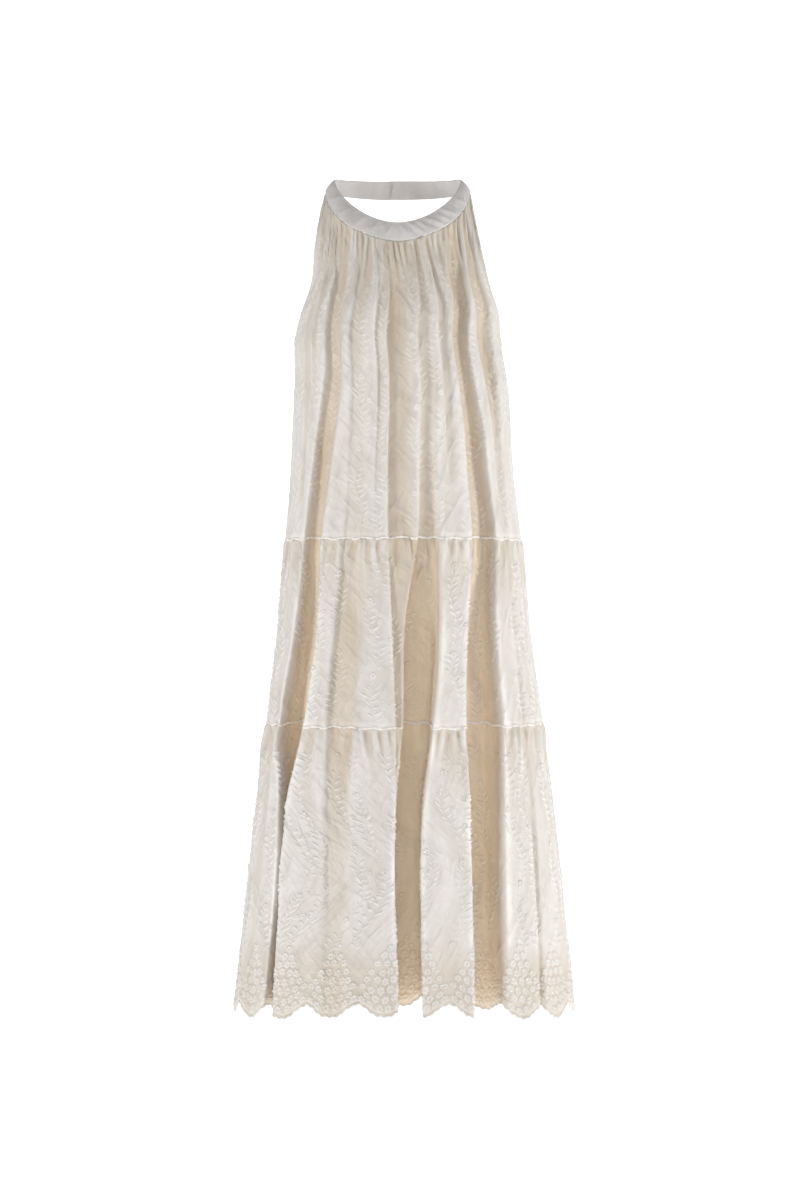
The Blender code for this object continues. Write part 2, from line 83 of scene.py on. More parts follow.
camera_data = bpy.data.cameras.new("camera")
camera_data.sensor_width = SENSOR
camera_data.lens = SENSOR * ROWS_PER_METRE * CAMERA_DISTANCE / PICTURE_ROWS
camera = bpy.data.objects.new("camera", camera_data)
camera.location = (0.0, -CAMERA_DISTANCE, CAMERA_HEIGHT)
camera.rotation_euler = (0.5 * pi, 0.0, 0.0)
bpy.context.scene.collection.objects.link(camera)
bpy.context.scene.camera = camera
print("lens:", round(camera_data.lens, 1), "mm")

# %% [markdown]
# ## The form without its folds
#
# Every panel lies on one hollow form. A short table gives the form's width and its front, side
# and back at a few heights, and a smooth curve is read through each column. A level section is
# half an ellipse in front and half an ellipse behind, which meet at the side seams. An angle
# round the dress is 0 at centre front and 90 degrees at the +X side.

# %% Level sections
WAIST_SEAM = -0.491
KNEE_SEAM = -0.745
HEM = -1.138
HEM_RISE = {"front": 0.024, "back": 0.010}
UNDERARM = -0.205

SECTION_COLUMNS = ("z", "half_width", "centre", "side", "front", "back")
SECTIONS = np.array((
    (0.000, 0.0965, -0.0030, -0.012, -0.0860, 0.070),
    (-0.035, 0.1030, -0.0042, -0.030, -0.0870, 0.074),
    (-0.087, 0.1123, -0.0030, -0.043, -0.0895, 0.078),
    (-0.136, 0.1216, 0.0003, -0.034, -0.1060, 0.082),
    (-0.184, 0.1390, -0.0010, -0.006, -0.1220, 0.086),
    (-0.205, 0.1420, -0.0030, 0.000, -0.1260, 0.088),
    (-0.270, 0.1480, 0.0015, 0.000, -0.1310, 0.094),
    (-0.406, 0.1555, 0.0030, 0.000, -0.1320, 0.102),
    (-0.491, 0.1645, 0.0045, 0.000, -0.1350, 0.110),
    (-0.600, 0.1745, 0.0050, 0.000, -0.1420, 0.123),
    (-0.745, 0.1925, 0.0065, 0.000, -0.1540, 0.140),
    (-0.855, 0.2070, 0.0065, 0.000, -0.1620, 0.152),
    (-0.995, 0.2220, 0.0065, 0.000, -0.1710, 0.165),
    (-1.138, 0.2365, 0.0055, 0.000, -0.1800, 0.176),
))


def smooth_step(start, end, value):
    """Rise from 0 at start to 1 at end with level ends: 3 s^2 - 2 s^3 of the share s."""
    share = np.clip((value - start) / (end - start), 0.0, 1.0)
    return share * share * (3.0 - 2.0 * share)


def curve_through(places, values, at):
    """Read a cubic curve through the values, whose slopes come from each value's neighbours."""
    order = np.argsort(places)
    places = np.asarray(places, dtype=float)[order]
    values = np.asarray(values, dtype=float)[order]
    slopes = np.gradient(values, places)
    at = np.clip(at, places[0], places[-1])
    cell = np.clip(np.searchsorted(places, at, side="right") - 1, 0, len(places) - 2)
    span = places[cell + 1] - places[cell]
    share = (at - places[cell]) / span
    start = (1.0 + 2.0 * share) * (1.0 - share) ** 2 * values[cell]
    start_slope = share * (1.0 - share) ** 2 * span * slopes[cell]
    end = share ** 2 * (3.0 - 2.0 * share) * values[cell + 1]
    end_slope = share ** 2 * (share - 1.0) * span * slopes[cell + 1]
    return start + start_slope + end + end_slope


def section(name, z):
    """Read one column of the section table at the heights z."""
    return curve_through(SECTIONS[:, 0], SECTIONS[:, SECTION_COLUMNS.index(name)], z)


def ring(angle, z):
    """Give the smooth form's x and y, and its outward direction, at angles and heights."""
    half_width = section("half_width", z)
    side = np.where(z > UNDERARM, section("side", z), 0.0)
    depth = np.where(np.cos(angle) > 0.0, side - section("front", z), section("back", z) - side)
    x = section("centre", z) + half_width * np.sin(angle)
    y = side - depth * np.cos(angle)
    out_x = depth * np.sin(angle)
    out_y = -half_width * np.cos(angle)
    length = np.hypot(out_x, out_y)
    return x, y, out_x / length, out_y / length


print("form:", len(SECTIONS), "sections from", SECTIONS[0, 0], "to", SECTIONS[-1, 0])

# %% [markdown]
# ## The long folds
#
# Worn cotton of this weight falls in flat plates with narrow recesses between them, not in even
# waves: a plate's edge is crisp and hangs a little over the recess beside it. So each fold is a
# recess with a left and a right edge. Its depth is a product of two smooth steps, tanh of the
# distance from each edge over that edge's softness, and its floor is pushed sideways under a
# sharp edge. A row follows one recess down the whole dress, so the tiers meet at their seams.
# The recesses at the back are made the same way, as uneven as those in front.

# %% Recess table
# One recess: its left edge, right edge and depth at these heights, in degrees and mm, then the
# softness of its two edges in mm at the top and at the bottom, and how far each side is tucked.
FOLD_HEIGHTS = (-0.10, -0.25, -0.36, -0.491, -0.61, -0.745, -0.835, -1.138)
FOLDS = (
    ((-47.8, -42.4, -49.8, -54, -56.8, -61.5, -55.5, -52.6),
     (-38, -34, -39, -44, -44, -47.3, -51.5, -49.2),
     (6, 10, 14, 19, 32, 38, 40, 43), (3.5, 9, 3, 4), (0.30, 0.10)),
    ((-27, -26.5, -27, -28.8, -31.6, -32.5, -31, -27),
     (-20.5, -19.5, -19, -18.1, -18.5, -22, -22, -20),
     (4, 4, 3, 4, 9, 8, 6, 3), (4, 12, 6, 12), (0.15, 0)),
    ((-13.5, -12.5, -13, -14, -14, -14, -14, -14),
     (-9.5, -9, -9.5, -10.5, -10.5, -10.5, -10.5, -10.5),
     (4, 4, 3, 0, 0, 0, 0, 0), (2.5, 7, 3, 9), (0.2, 0)),
    ((23.5, 22.5, 23, 25, 25, 25, 25, 25),
     (28, 26.5, 27.5, 30, 30, 30, 30, 30),
     (4, 5, 4, 0, 0, 0, 0, 0), (2.5, 8, 3, 9), (0.2, 0)),
    ((-58, -54.5, -60, -60, -60, -60, -60, -60),
     (-54, -51, -57, -57, -57, -57, -57, -57),
     (3, 4, 0, 0, 0, 0, 0, 0), (3, 6, 3, 6), (0.2, 0)),
    ((-6.2, -6, -6.8, -7, -5.2, -3.5, -3.2, -1.8),
     (8, 5, 4, 5, 13, 8.5, 5.6, 4.4),
     (6, 9, 9, 10, 9, 10, 6, 3), (2.5, 12, 2.5, 6), (0.30, 0)),
    ((13.7, 10, 9, 7.2, 1.8, 0.5, -2.2, -1.2),
     (22, 17.5, 16, 15.8, 15, 10.2, 6.4, 5.6),
     (3, 5, 7, 13, 31, 36, 41, 46), (4, 7, 3, 3), (0.20, 0.25)),
    ((38, 32.2, 35.7, 36, 31, 26.6, 26, 23.7),
     (49, 40.5, 46.4, 48.5, 44.1, 42, 39, 33.8),
     (10, 14, 17, 20, 33, 40, 42, 45), (8, 3, 3, 8), (0.15, 0.15)),
    ((52, 50.1, 55.4, 57, 57, 57, 57, 57),
     (66, 62.7, 63, 61, 60, 60, 60, 60),
     (6, 13, 8, 2, 0, 0, 0, 0), (3, 6, 3, 6), (0.30, 0)),
    ((-68, -62.5, -62.5, -62, -70, -70, -70, -68),
     (-61, -57, -59, -59.5, -66, -65, -65, -63),
     (2, 4, 4, 1, 1, 2, 2, 3), (3, 5, 5, 7), (0.1, 0)),
    ((57, 57, 57, 57, 57, 56.5, 56, 51),
     (60, 60, 60, 60, 60, 59, 58.5, 53.5),
     (0, 0, 0, 0, 2, 3, 4, 6), (2.5, 4, 2.5, 4), (0.2, 0)),
    ((106, 107, 106, 104, 105, 107, 106, 104),
     (114, 115, 115, 116, 117, 117, 114, 111),
     (3, 4, 6, 11, 20, 28, 33, 38), (4, 8, 4, 6), (0.2, 0.1)),
    ((131, 131, 130, 129, 127, 128, 129, 130),
     (138, 138, 138, 138, 137, 137, 136, 136),
     (1, 2, 3, 6, 11, 12, 10, 9), (7, 9, 7, 10), (0, 0.1)),
    ((153, 152, 151, 151, 152, 152, 154, 153),
     (159, 159, 160, 162, 163, 162, 161, 159),
     (4, 5, 8, 13, 27, 35, 39, 44), (8, 4, 6, 3.5), (0.1, 0.25)),
    ((178, 177, 178, 179, 176, 175, 176, 177),
     (185, 185, 186, 187, 186, 184, 183, 182),
     (2, 3, 4, 7, 13, 15, 13, 10), (5, 9, 5, 12), (0.2, 0)),
    ((201, 201, 200, 199, 198, 199, 201, 203),
     (207, 208, 208, 209, 210, 209, 208, 208.5),
     (3, 5, 8, 12, 25, 34, 38, 42), (4, 7, 3, 6), (0.25, 0.1)),
    ((224, 224, 223, 222, 223, 225, 225, 224),
     (231, 231, 232, 232, 232, 232, 231, 230),
     (1, 2, 3, 6, 10, 13, 12, 10), (8, 8, 9, 9), (0, 0)),
    ((246, 246, 245, 245, 246, 247, 248, 249),
     (253, 254, 255, 256, 257, 257, 256, 256),
     (3, 4, 6, 10, 19, 27, 32, 37), (7, 4, 5, 4), (0.1, 0.2)),
)
FOLD_RISE = 0.12
LIP_HEIGHT = 0.035
LIP_SPREAD = 1.2
LEAST_HALF = 0.003
MM = 0.001


def recesses(angle, z):
    """Add up how far the recesses take the cloth inward and sideways at angles and heights.

    The distance from an edge is the turn from it times the form's arc length per turn there.
    """
    inward = np.zeros_like(angle)
    sideways = np.zeros_like(angle)
    half_width = section("half_width", z)
    front = -section("front", z)
    back = section("back", z)
    share = np.clip((z - FOLD_HEIGHTS[0]) / (FOLD_HEIGHTS[-1] - FOLD_HEIGHTS[0]), 0.0, 1.0)
    for lefts, rights, depths, soft, tuck in FOLDS:
        left, right = (np.radians(curve_through(FOLD_HEIGHTS, row, z)) for row in (lefts, rights))
        depth = MM * np.maximum(curve_through(FOLD_HEIGHTS, depths, z), 0.0)
        middle = 0.5 * (left + right)
        across = np.where(np.cos(middle) > 0.0, front, back)
        speed = np.hypot(half_width * np.cos(middle), across * np.sin(middle))
        turn = (angle - middle + pi) % (2.0 * pi) - pi
        half = 0.5 * (right - left) * speed
        place = turn * speed
        profile, lips = depth, 0.0
        for edge, inside in enumerate((place + half, half - place)):
            softness = MM * (soft[edge] + (soft[edge + 2] - soft[edge]) * share)
            profile = profile * (0.5 + 0.5 * np.tanh(2.0 * inside / softness))
            lips = lips + np.exp(-((inside + softness) / (LIP_SPREAD * softness)) ** 2)
        inward += profile - LIP_HEIGHT * depth * lips
        over = 0.5 + 0.5 * np.clip(place / np.maximum(half, LEAST_HALF), -1.0, 1.0)
        sideways += profile * (tuck[1] * over - tuck[0] * (1.0 - over))
    return inward, sideways


def draped(angle, z, outward=0.0):
    """Give the cloth's points, moved outward by a small distance, and its depth in a recess."""
    x, y, out_x, out_y = ring(angle, z)
    inward, sideways = recesses(angle, z)
    x = x + out_x * (outward - inward) - out_y * sideways
    y = y + out_y * (outward - inward) + out_x * sideways
    return np.stack([x, y, z], axis=-1), inward


print("recesses:", len(FOLDS))

# %% [markdown]
# ## The threads that run down the cloth
#
# Woven cloth doesn't stretch, so its lengthwise threads stay an even distance apart along the
# cloth, in and out of every fold. At each of a few heights the length of cloth round a panel is
# added up, and the angles of evenly spaced threads are read back from it. A grid laid on these
# threads has equal cells in a recess and on a plate, and a motif on it is never smeared.

# %% Threads
THREAD_HEIGHTS = np.linspace(0.0, -1.14, 77)
THREAD_COUNT = 901
FINE_ANGLES = 3601
PANEL_MIDDLE = {"front": 0.0, "back": pi}


def length_along(path):
    """Add up the distances between the points of a path."""
    steps = np.linalg.norm(np.diff(path, axis=0), axis=1)
    return np.concatenate([[0.0], np.cumsum(steps)])


def thread_table(side):
    """Give the angle of each evenly spaced thread at each height, and the cloth's width there."""
    fine = np.linspace(-0.5 * pi, 0.5 * pi, FINE_ANGLES) + PANEL_MIDDLE[side]
    table = np.empty((len(THREAD_HEIGHTS), THREAD_COUNT))
    widths = np.empty(len(THREAD_HEIGHTS))
    shares = np.linspace(0.0, 1.0, THREAD_COUNT)
    for row, height in enumerate(THREAD_HEIGHTS):
        length = length_along(draped(fine, np.full_like(fine, height))[0])
        widths[row] = length[-1]
        table[row] = np.interp(shares, length / length[-1], fine)
    return table, widths


THREADS = {side: thread_table(side) for side in PANEL_MIDDLE}


def thread_angle(side, across, z):
    """Read the thread table between its heights and threads."""
    table, _ = THREADS[side]
    row = (THREAD_HEIGHTS[0] - z) / (THREAD_HEIGHTS[0] - THREAD_HEIGHTS[1])
    row = np.clip(row, 0.0, len(THREAD_HEIGHTS) - 1.001)
    column = np.clip(across * (THREAD_COUNT - 1), 0.0, THREAD_COUNT - 1.001)
    r, c = row.astype(int), column.astype(int)
    dr, dc = row - r, column - c
    upper = table[r, c] * (1.0 - dc) + table[r, c + 1] * dc
    lower = table[r + 1, c] * (1.0 - dc) + table[r + 1, c + 1] * dc
    return upper * (1.0 - dr) + lower * dr


def cloth_width(side, z):
    """Give the width of cloth that a panel has at one height, measured along the folds."""
    _, widths = THREADS[side]
    return float(np.interp(-z, -THREAD_HEIGHTS, widths))


for side in PANEL_MIDDLE:
    print(side, "cloth at waist, knee and hem:",
          [round(cloth_width(side, z), 3) for z in (WAIST_SEAM, KNEE_SEAM, HEM)])

# %% [markdown]
# ## Gathers, creases and an uneven hand
#
# A gathered edge is many small pleats of different sizes. Each gather here has its own place,
# height, width, length and wander, drawn from a fixed seed, so that the row is uneven and yet the
# same on every run. A gather is a round ridge, exp(-s^2) across, which dies away down the cloth.
# Most are short, and a few run on as soft creases. Slow sines add the unevenness of hung cloth.

# %% Gathers
GATHER_HEIGHT = 0.0048
BODICE_GATHER_HEIGHT = 0.0040
GATHER_FLARE = 0.75
GATHER_FADE = 1.6
GATHER_DRIFT = 0.38
HEIGHT_RANGE = (0.45, 1.25)
HALF_RANGE = (0.17, 0.30)
RUN_RANGE = (0.6, 1.5)
CARRIED_SHARE = 0.24
CARRIED_RANGE = (0.6, 1.4)
CARRIED_WIDER = 1.5
WANDER = 0.10
SEAM_CALM = 0.006
END_CALM = 0.012
# Made-up depth for the gathers' valleys: it moves no cloth and only paints shade between the
# ridges.
VALLEY_PAINTED_SHADE = 0.011
SLOW_WAVES = 5
WAVE_LENGTHS = (0.05, 0.14)
WAVE_SLANT = 0.35


def gather_row(seed, count, width, short=0.032, long=0.10, tall=GATHER_HEIGHT):
    """Draw the gathers of one seam: place, height, half width, run and wander of each."""
    rng = np.random.default_rng(seed)
    spacing = width / count
    drift = rng.uniform(-GATHER_DRIFT, GATHER_DRIFT, count)
    place = (np.arange(count) + 0.5 + drift) * spacing
    height = tall * rng.uniform(*HEIGHT_RANGE, count)
    half = spacing * rng.uniform(*HALF_RANGE, count)
    run = short * rng.uniform(*RUN_RANGE, count)
    carried = rng.random(count) < CARRIED_SHARE
    run = np.where(carried, long * rng.uniform(*CARRIED_RANGE, count), run)
    half = np.where(carried, CARRIED_WIDER * half, half)
    return place, height, half, run, rng.normal(0.0, WANDER, count)


def gathers(row, along, down, width):
    """Sum the ridges of a gathered edge at places along the cloth and distances below the seam.

    The second result says how much of a valley a place is: 1 between ridges, fading downward. It
    only adds painted shade to the valleys.
    """
    total = np.zeros_like(along)
    for place, height, half, run, wander in zip(*row):
        spread = half * (1.0 + GATHER_FLARE * down / run)
        ridge = np.exp(-((along - place - wander * down) / spread) ** 2)
        total += height * ridge * np.exp(-(down / run) ** GATHER_FADE)
    fade = np.exp(-(down / row[3].mean()) ** GATHER_FADE)
    tall = row[1].mean() * fade
    rise = 0.15 + 0.85 * smooth_step(0.0, SEAM_CALM, down)
    ends = smooth_step(0.0, END_CALM, along) * smooth_step(0.0, END_CALM, width - along)
    valley = fade * np.clip(1.0 - total / np.maximum(0.8 * tall, 0.00002), 0.0, 1.0)
    return (total - 0.5 * tall) * rise * ends, valley * rise


def unevenness(seed, along, down, height):
    """Add slow waves with seeded directions, lengths of 5 to 14 cm and phases."""
    rng = np.random.default_rng(seed)
    total = np.zeros_like(along)
    for _ in range(SLOW_WAVES):
        length = rng.uniform(*WAVE_LENGTHS)
        slant = rng.uniform(-WAVE_SLANT, WAVE_SLANT)
        phase = rng.uniform(0.0, 2.0 * pi)
        total += np.sin(2.0 * pi * (along + slant * down) / length + phase)
    return 0.35 * height * total


print("gathers stand", round(HEIGHT_RANGE[1] * GATHER_HEIGHT / MM, 1), "mm at most")

# %% [markdown]
# ## The neckband's two edges
#
# The neckband is a strip that lies on the shoulders: low in front, higher at the sides, level at
# the back. A table gives how far its upper and lower edges reach from the middle and how high
# they are, by the angle from centre front. The upper front is gathered onto its lower edge.

# %% Neckband edges
BAND_COLUMNS = ("angle", "upper_reach", "upper_z", "lower_reach", "lower_z")
BAND = np.array((
    (0.0, 0.0780, -0.0595, 0.0890, -0.0865),
    (25.0, 0.0795, -0.0515, 0.0915, -0.0770),
    (48.0, 0.0830, -0.0325, 0.0970, -0.0580),
    (70.0, 0.0865, -0.0080, 0.0995, -0.0300),
    (88.0, 0.0880, 0.0110, 0.1010, -0.0040),
    (120.0, 0.0790, 0.0200, 0.0930, -0.0010),
    (150.0, 0.0690, 0.0230, 0.0780, -0.0015),
    (180.0, 0.0650, 0.0240, 0.0730, -0.0015),
))
BAND_SHIFT = -0.003
BAND_SHARE = 84.0
BAND_PULL_REACH = 0.15
SEAM_GAP = 0.0003


def band_column(name, turned):
    """Read a column of the table, mirrored past both ends so that the edge has no corner there."""
    places = np.concatenate([-BAND[1:2, 0], BAND[:, 0], 360.0 - BAND[-2:-1, 0]])
    values = BAND[:, BAND_COLUMNS.index(name)]
    values = np.concatenate([values[1:2], values, values[-2:-1]])
    return curve_through(places, values, turned)


def band_edge(angle, edge):
    """Give points on the neckband's upper or lower edge at angles in degrees from centre front."""
    turned = np.abs((angle + 180.0) % 360.0 - 180.0)
    reach = band_column(edge + "_reach", turned)
    height = band_column(edge + "_z", turned)
    turn = np.radians(angle)
    return np.stack([BAND_SHIFT + reach * np.sin(turn), -reach * np.cos(turn), height], axis=-1)


print("neckband front, lower edge:", band_edge(np.array([0.0]), "lower")[0].round(4))

# %% [markdown]
# ## The six panels as surfaces
#
# A panel is a function of two parameters: the share across its cloth, and the distance down it.
# The lower tiers hang between two seams, and the lowest ends in a hem cut in lobes. The upper
# front starts at the neckband: near its top the cloth is drawn in from the form to the band,
# by a smooth step over 15 cm. The upper back starts at a straight edge drawn in by elastic.
# Each function gives the points and how deep in a fold they lie, which the material turns into
# painted shade and painted glow. Made-up depth is added in the gathers' valleys and near the hem,
# only to paint shade there.

# %% Panel surfaces
UPPER_LENGTH = 0.405
BACK_LENGTH = 0.2705
MIDDLE_LENGTH = 0.254
BOTTOM_LENGTH = 0.389
BACK_EDGE_DIP = 0.030
LOBE_WIDTH = 0.074
LOBE_DEPTH = 0.018
LOBE_REACH = 0.06
LOBE_SHIFT = 0.30
SCALLOP_WIDTH = 0.0095
SCALLOP_DEPTH = 0.0024
SCALLOP_REACH = 0.006
# Made-up depth near the hem, which only paints shade between the flowers.
HEM_SHADE = 0.006
HEM_SHADE_BAND = (0.10, 0.04)
UNEVEN = 0.0011
BODICE_UNEVEN = 0.0010
TOP_CALM = 0.03
BOTTOM_CALM = 0.02
BAND_CALM = 0.05
FOLD_SHADE_DEPTH = 0.020
LIP_FULL_PAINTED_HIGHLIGHT = 0.0012
SIDE_CALM = 0.015
SEAM_SHARE = 0.5 * SEAM_GAP


def painted_fold_share(depth):
    """Turn a depth into a share from 0 to 1 that rises fast at first: 1 - exp(-depth / 20 mm).

    The share picks the painted shade and warm painted glow of a fold. Lips that stand out beside a
    recess have a negative depth and give down to -0.5, a painted highlight.
    """
    painted_highlight_share = 0.5 * np.maximum(depth / LIP_FULL_PAINTED_HIGHLIGHT, -1.0)
    return np.where(depth < 0.0, painted_highlight_share, 1.0 - np.exp(-np.maximum(depth, 0.0) / FOLD_SHADE_DEPTH))


def seam_height(angle, base):
    """Give a seam's height, which rides up a little inside each recess."""
    inward, _ = recesses(angle, np.full_like(angle, base))
    return base + FOLD_RISE * np.maximum(inward, 0.0)


def lobe_wave(along):
    """Give the hem's lobes along the cloth: 1 at a lobe's lowest point and 0 between two."""
    return np.abs(np.sin(pi * (along / LOBE_WIDTH + LOBE_SHIFT))) ** 1.5


def inside_sides(across):
    """Rise from 0 at both side seams to 1 a little way in, so that neighbours meet."""
    return smooth_step(0.0, SIDE_CALM, across) * smooth_step(0.0, SIDE_CALM, 1.0 - across)


def hang(side, across, down, length, start, end, waves, bump):
    """Hang cloth between a start and an end height, and move it outward by the waves."""
    share = np.clip(down / length, 0.0, 1.0)
    angle = np.full_like(across, PANEL_MIDDLE[side])
    for _ in range(3):
        height = start(angle) * (1.0 - share) + end(angle, across, down) * share
        angle = thread_angle(side, across, height)
    return draped(angle, height, waves + bump * inside_sides(across))


def lower_tier(side, top, bottom, length, count, seed, lobes):
    """Return the surface of a lower tier's panel."""
    width = cloth_width(side, bottom)
    row = gather_row(seed, count, width)

    def start(angle):
        return seam_height(angle, top) - SEAM_SHARE

    def end(angle, across, down):
        if not lobes:
            return seam_height(angle, bottom) + SEAM_SHARE
        rise = HEM_RISE[side] * np.cos(angle) ** 2
        near = smooth_step(length - LOBE_REACH, length, down)
        lobe = LOBE_DEPTH * (0.5 - lobe_wave(across * width)) * near
        scallop = np.abs(np.sin(pi * across * width / SCALLOP_WIDTH)) * SCALLOP_DEPTH
        lobe = lobe - scallop * smooth_step(length - SCALLOP_REACH, length, down)
        return seam_height(angle, bottom) + rise + lobe

    def surface(across, down):
        along = across * width
        waves, valley = gathers(row, along, down, width)
        inside = smooth_step(0.0, TOP_CALM, down)
        if not lobes:
            inside = inside * smooth_step(0.0, BOTTOM_CALM, length - down)
        bump = unevenness(seed + 7, along, down, UNEVEN) * inside
        points, depth = hang(side, across, down, length, start, end, waves, bump)
        depth = depth + VALLEY_PAINTED_SHADE * valley
        # Near the hem the cloth also gets painted shade, for the shadow between the flowers'
        # stitches.
        if lobes:
            start_shade, full_shade = (length - rise for rise in HEM_SHADE_BAND)
            depth = depth + HEM_SHADE * smooth_step(start_shade, full_shade, down)
        return points, depth

    return surface, width, length


def upper_back():
    """Return the surface of the upper back, whose top edge is drawn in by elastic."""
    width = cloth_width("back", WAIST_SEAM)
    row = gather_row(23, 34, width, 0.035, 0.10, BODICE_GATHER_HEIGHT)

    def start(angle):
        return UNDERARM - BACK_EDGE_DIP * smooth_step(0.0, 0.9, -np.cos(angle))

    def end(angle, across, down):
        return seam_height(angle, WAIST_SEAM) + SEAM_SHARE

    def surface(across, down):
        along = across * width
        waves, valley = gathers(row, along, down + SEAM_CALM, width)
        inside = smooth_step(0.0, BOTTOM_CALM, BACK_LENGTH - down)
        bump = unevenness(31, along, down, BODICE_UNEVEN) * inside
        points, depth = hang("back", across, down, BACK_LENGTH, start, end, waves, bump)
        return points, depth + VALLEY_PAINTED_SHADE * valley

    return surface, width, BACK_LENGTH


def upper_front():
    """Return the surface of the upper front, gathered onto the neckband, cut away at the arms."""
    width = cloth_width("front", WAIST_SEAM)
    row = gather_row(11, 34, width, 0.060, 0.22, BODICE_GATHER_HEIGHT)

    def surface(across, down):
        band_angle = BAND_SHARE * (2.0 * across - 1.0)
        lower = band_edge(band_angle, "lower")
        slope = lower - band_edge(band_angle, "upper")
        slope = slope / np.linalg.norm(slope, axis=-1, keepdims=True)
        seam = lower + slope * SEAM_GAP
        top_z = seam[..., 2]
        share = np.clip(down / UPPER_LENGTH, 0.0, 1.0)
        angle = thread_angle("front", across, np.full_like(across, WAIST_SEAM))
        for _ in range(3):
            bottom = seam_height(angle, WAIST_SEAM) + SEAM_SHARE
            z = top_z + (bottom - top_z) * share
            angle = thread_angle("front", across, z)
        along = across * width
        waves, valley = gathers(row, along, down, width)
        inside = smooth_step(0.0, BAND_CALM, down)
        inside = inside * smooth_step(0.0, BOTTOM_CALM, UPPER_LENGTH - down)
        bump = unevenness(19, along, down, BODICE_UNEVEN) * inside * inside_sides(across)
        points, inward = draped(angle, z, waves + bump)
        top, _ = draped(thread_angle("front", across, top_z), top_z)
        pull = 1.0 - smooth_step(0.0, BAND_PULL_REACH, down)
        points = points + (seam - top) * pull[..., None]
        return points, inward + VALLEY_PAINTED_SHADE * valley

    return surface, width, UPPER_LENGTH


SURFACES = {
    "upper_front": upper_front(),
    "upper_back": upper_back(),
    "middle_front": lower_tier("front", WAIST_SEAM, KNEE_SEAM, MIDDLE_LENGTH, 50, 41, False),
    "middle_back": lower_tier("back", WAIST_SEAM, KNEE_SEAM, MIDDLE_LENGTH, 44, 43, False),
    "bottom_front": lower_tier("front", KNEE_SEAM, HEM, BOTTOM_LENGTH, 62, 47, True),
    "bottom_back": lower_tier("back", KNEE_SEAM, HEM, BOTTOM_LENGTH, 54, 53, True),
}
for name, (_, width, length) in SURFACES.items():
    print(name, "cloth", round(width, 3), "x", round(length, 3))

# %% [markdown]
# ## From a surface to cloth
#
# A grid of threads is laid on a panel's surface, finer near the gathered top. Solidify gives it
# the thickness of the cloth. The UV map holds the place on the flat cloth in metres, so weave
# and stitches keep their size, and an attribute holds a share from how deep in a fold each point
# lies, which sets its painted shade, painted glow and painted highlight.

# %% Grid meshes
COTTON_WALL = 0.0009
FINE_ROW = 0.0034
COARSE_ROW = 0.0085
FINE_REACH = 0.12


def flatten(mesh, uv, fold=None):
    """Shade a mesh smooth, and store each point's place on the flat cloth and its share of painted
    fold light and shade.
    """
    corner = np.empty(len(mesh.loops), dtype=np.int32)
    mesh.loops.foreach_get("vertex_index", corner)
    layer = mesh.uv_layers.new(name="cloth")
    layer.data.foreach_set("uv", uv.reshape(-1, 2)[corner].reshape(-1).astype(np.float32))
    mesh.polygons.foreach_set("use_smooth", np.ones(len(mesh.polygons), dtype=bool))
    if fold is not None:
        layer = mesh.attributes.new("painted_light", "FLOAT", "POINT")
        layer.data.foreach_set("value", fold.reshape(-1).astype(np.float32))
    mesh.update()


def link(mesh):
    """Put a mesh in the scene as an object of its name, at the origin."""
    thing = bpy.data.objects.new(mesh.name, mesh)
    bpy.context.scene.collection.objects.link(thing)
    return thing


def piece_of_dress(mesh):
    """Link a mesh and let it ride on the dress."""
    thing = link(mesh)
    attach(thing, "root")
    return thing


def quad_mesh(name, points, quads, uv, fold=None):
    """Make a mesh from points and faces of four."""
    mesh = bpy.data.meshes.new(name)
    mesh.vertices.add(points.size // 3)
    mesh.vertices.foreach_set("co", points.reshape(-1).astype(np.float32))
    mesh.loops.add(quads.size)
    mesh.loops.foreach_set("vertex_index", quads.reshape(-1).astype(np.int32))
    mesh.polygons.add(len(quads))
    mesh.polygons.foreach_set("loop_start", np.arange(0, quads.size, 4, dtype=np.int32))
    mesh.update(calc_edges=True)
    flatten(mesh, uv, fold)
    return mesh


def grid_quads(rows, columns):
    """Give the faces of a grid of points, given as rows, each counted from its lower left."""
    index = np.arange(rows * columns).reshape(rows, columns)
    quads = [index[1:, :-1], index[1:, 1:], index[:-1, 1:], index[:-1, :-1]]
    return np.stack(quads, axis=-1).reshape(-1, 4)


def rows_down(length):
    """Give row distances that start finely spaced and grow coarse over the first 12 cm."""
    places = [0.0]
    while places[-1] < length - 0.5 * COARSE_ROW:
        share = min(1.0, places[-1] / FINE_REACH)
        places.append(places[-1] + FINE_ROW + (COARSE_ROW - FINE_ROW) * share)
    return np.array(places) * length / places[-1]


def cloth_panel(name, columns):
    """Make one panel of the dress as a thin shell."""
    surface, width, length = SURFACES[name]
    across, down = np.meshgrid(np.linspace(0.0, 1.0, columns + 1), rows_down(length))
    points, inward = surface(across, down)
    uv = np.stack([across * width, -down], axis=-1)
    quads = grid_quads(*across.shape)
    panel = piece_of_dress(quad_mesh(name + "_cloth", points, quads, uv, painted_fold_share(inward)))
    wall = panel.modifiers.new("wall", "SOLIDIFY")
    wall.thickness = COTTON_WALL
    wall.offset = 0.0
    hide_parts(name)
    print(name, points.shape[0] - 1, "x", columns, "cells")
    return panel


PANEL_COLUMNS = {
    "upper_front": 400,
    "upper_back": 220,
    "middle_front": 480,
    "middle_back": 300,
    "bottom_front": 580,
    "bottom_back": 350,
}
panels = {name: cloth_panel(name, columns) for name, columns in PANEL_COLUMNS.items()}

# %% [markdown]
# ## Laying trimmings on the cloth
#
# Everything sewn to a panel is worked out on that panel's own surface: a point has a place along
# the cloth, a distance down it and a height above it. The surface is read three times, a little
# to the right and a little lower, and the cross product of the two differences is the outward
# direction. So a flower bends with the gathers under it, and never floats or sinks.

# %% Points on a panel's face
PROBE = 0.0008


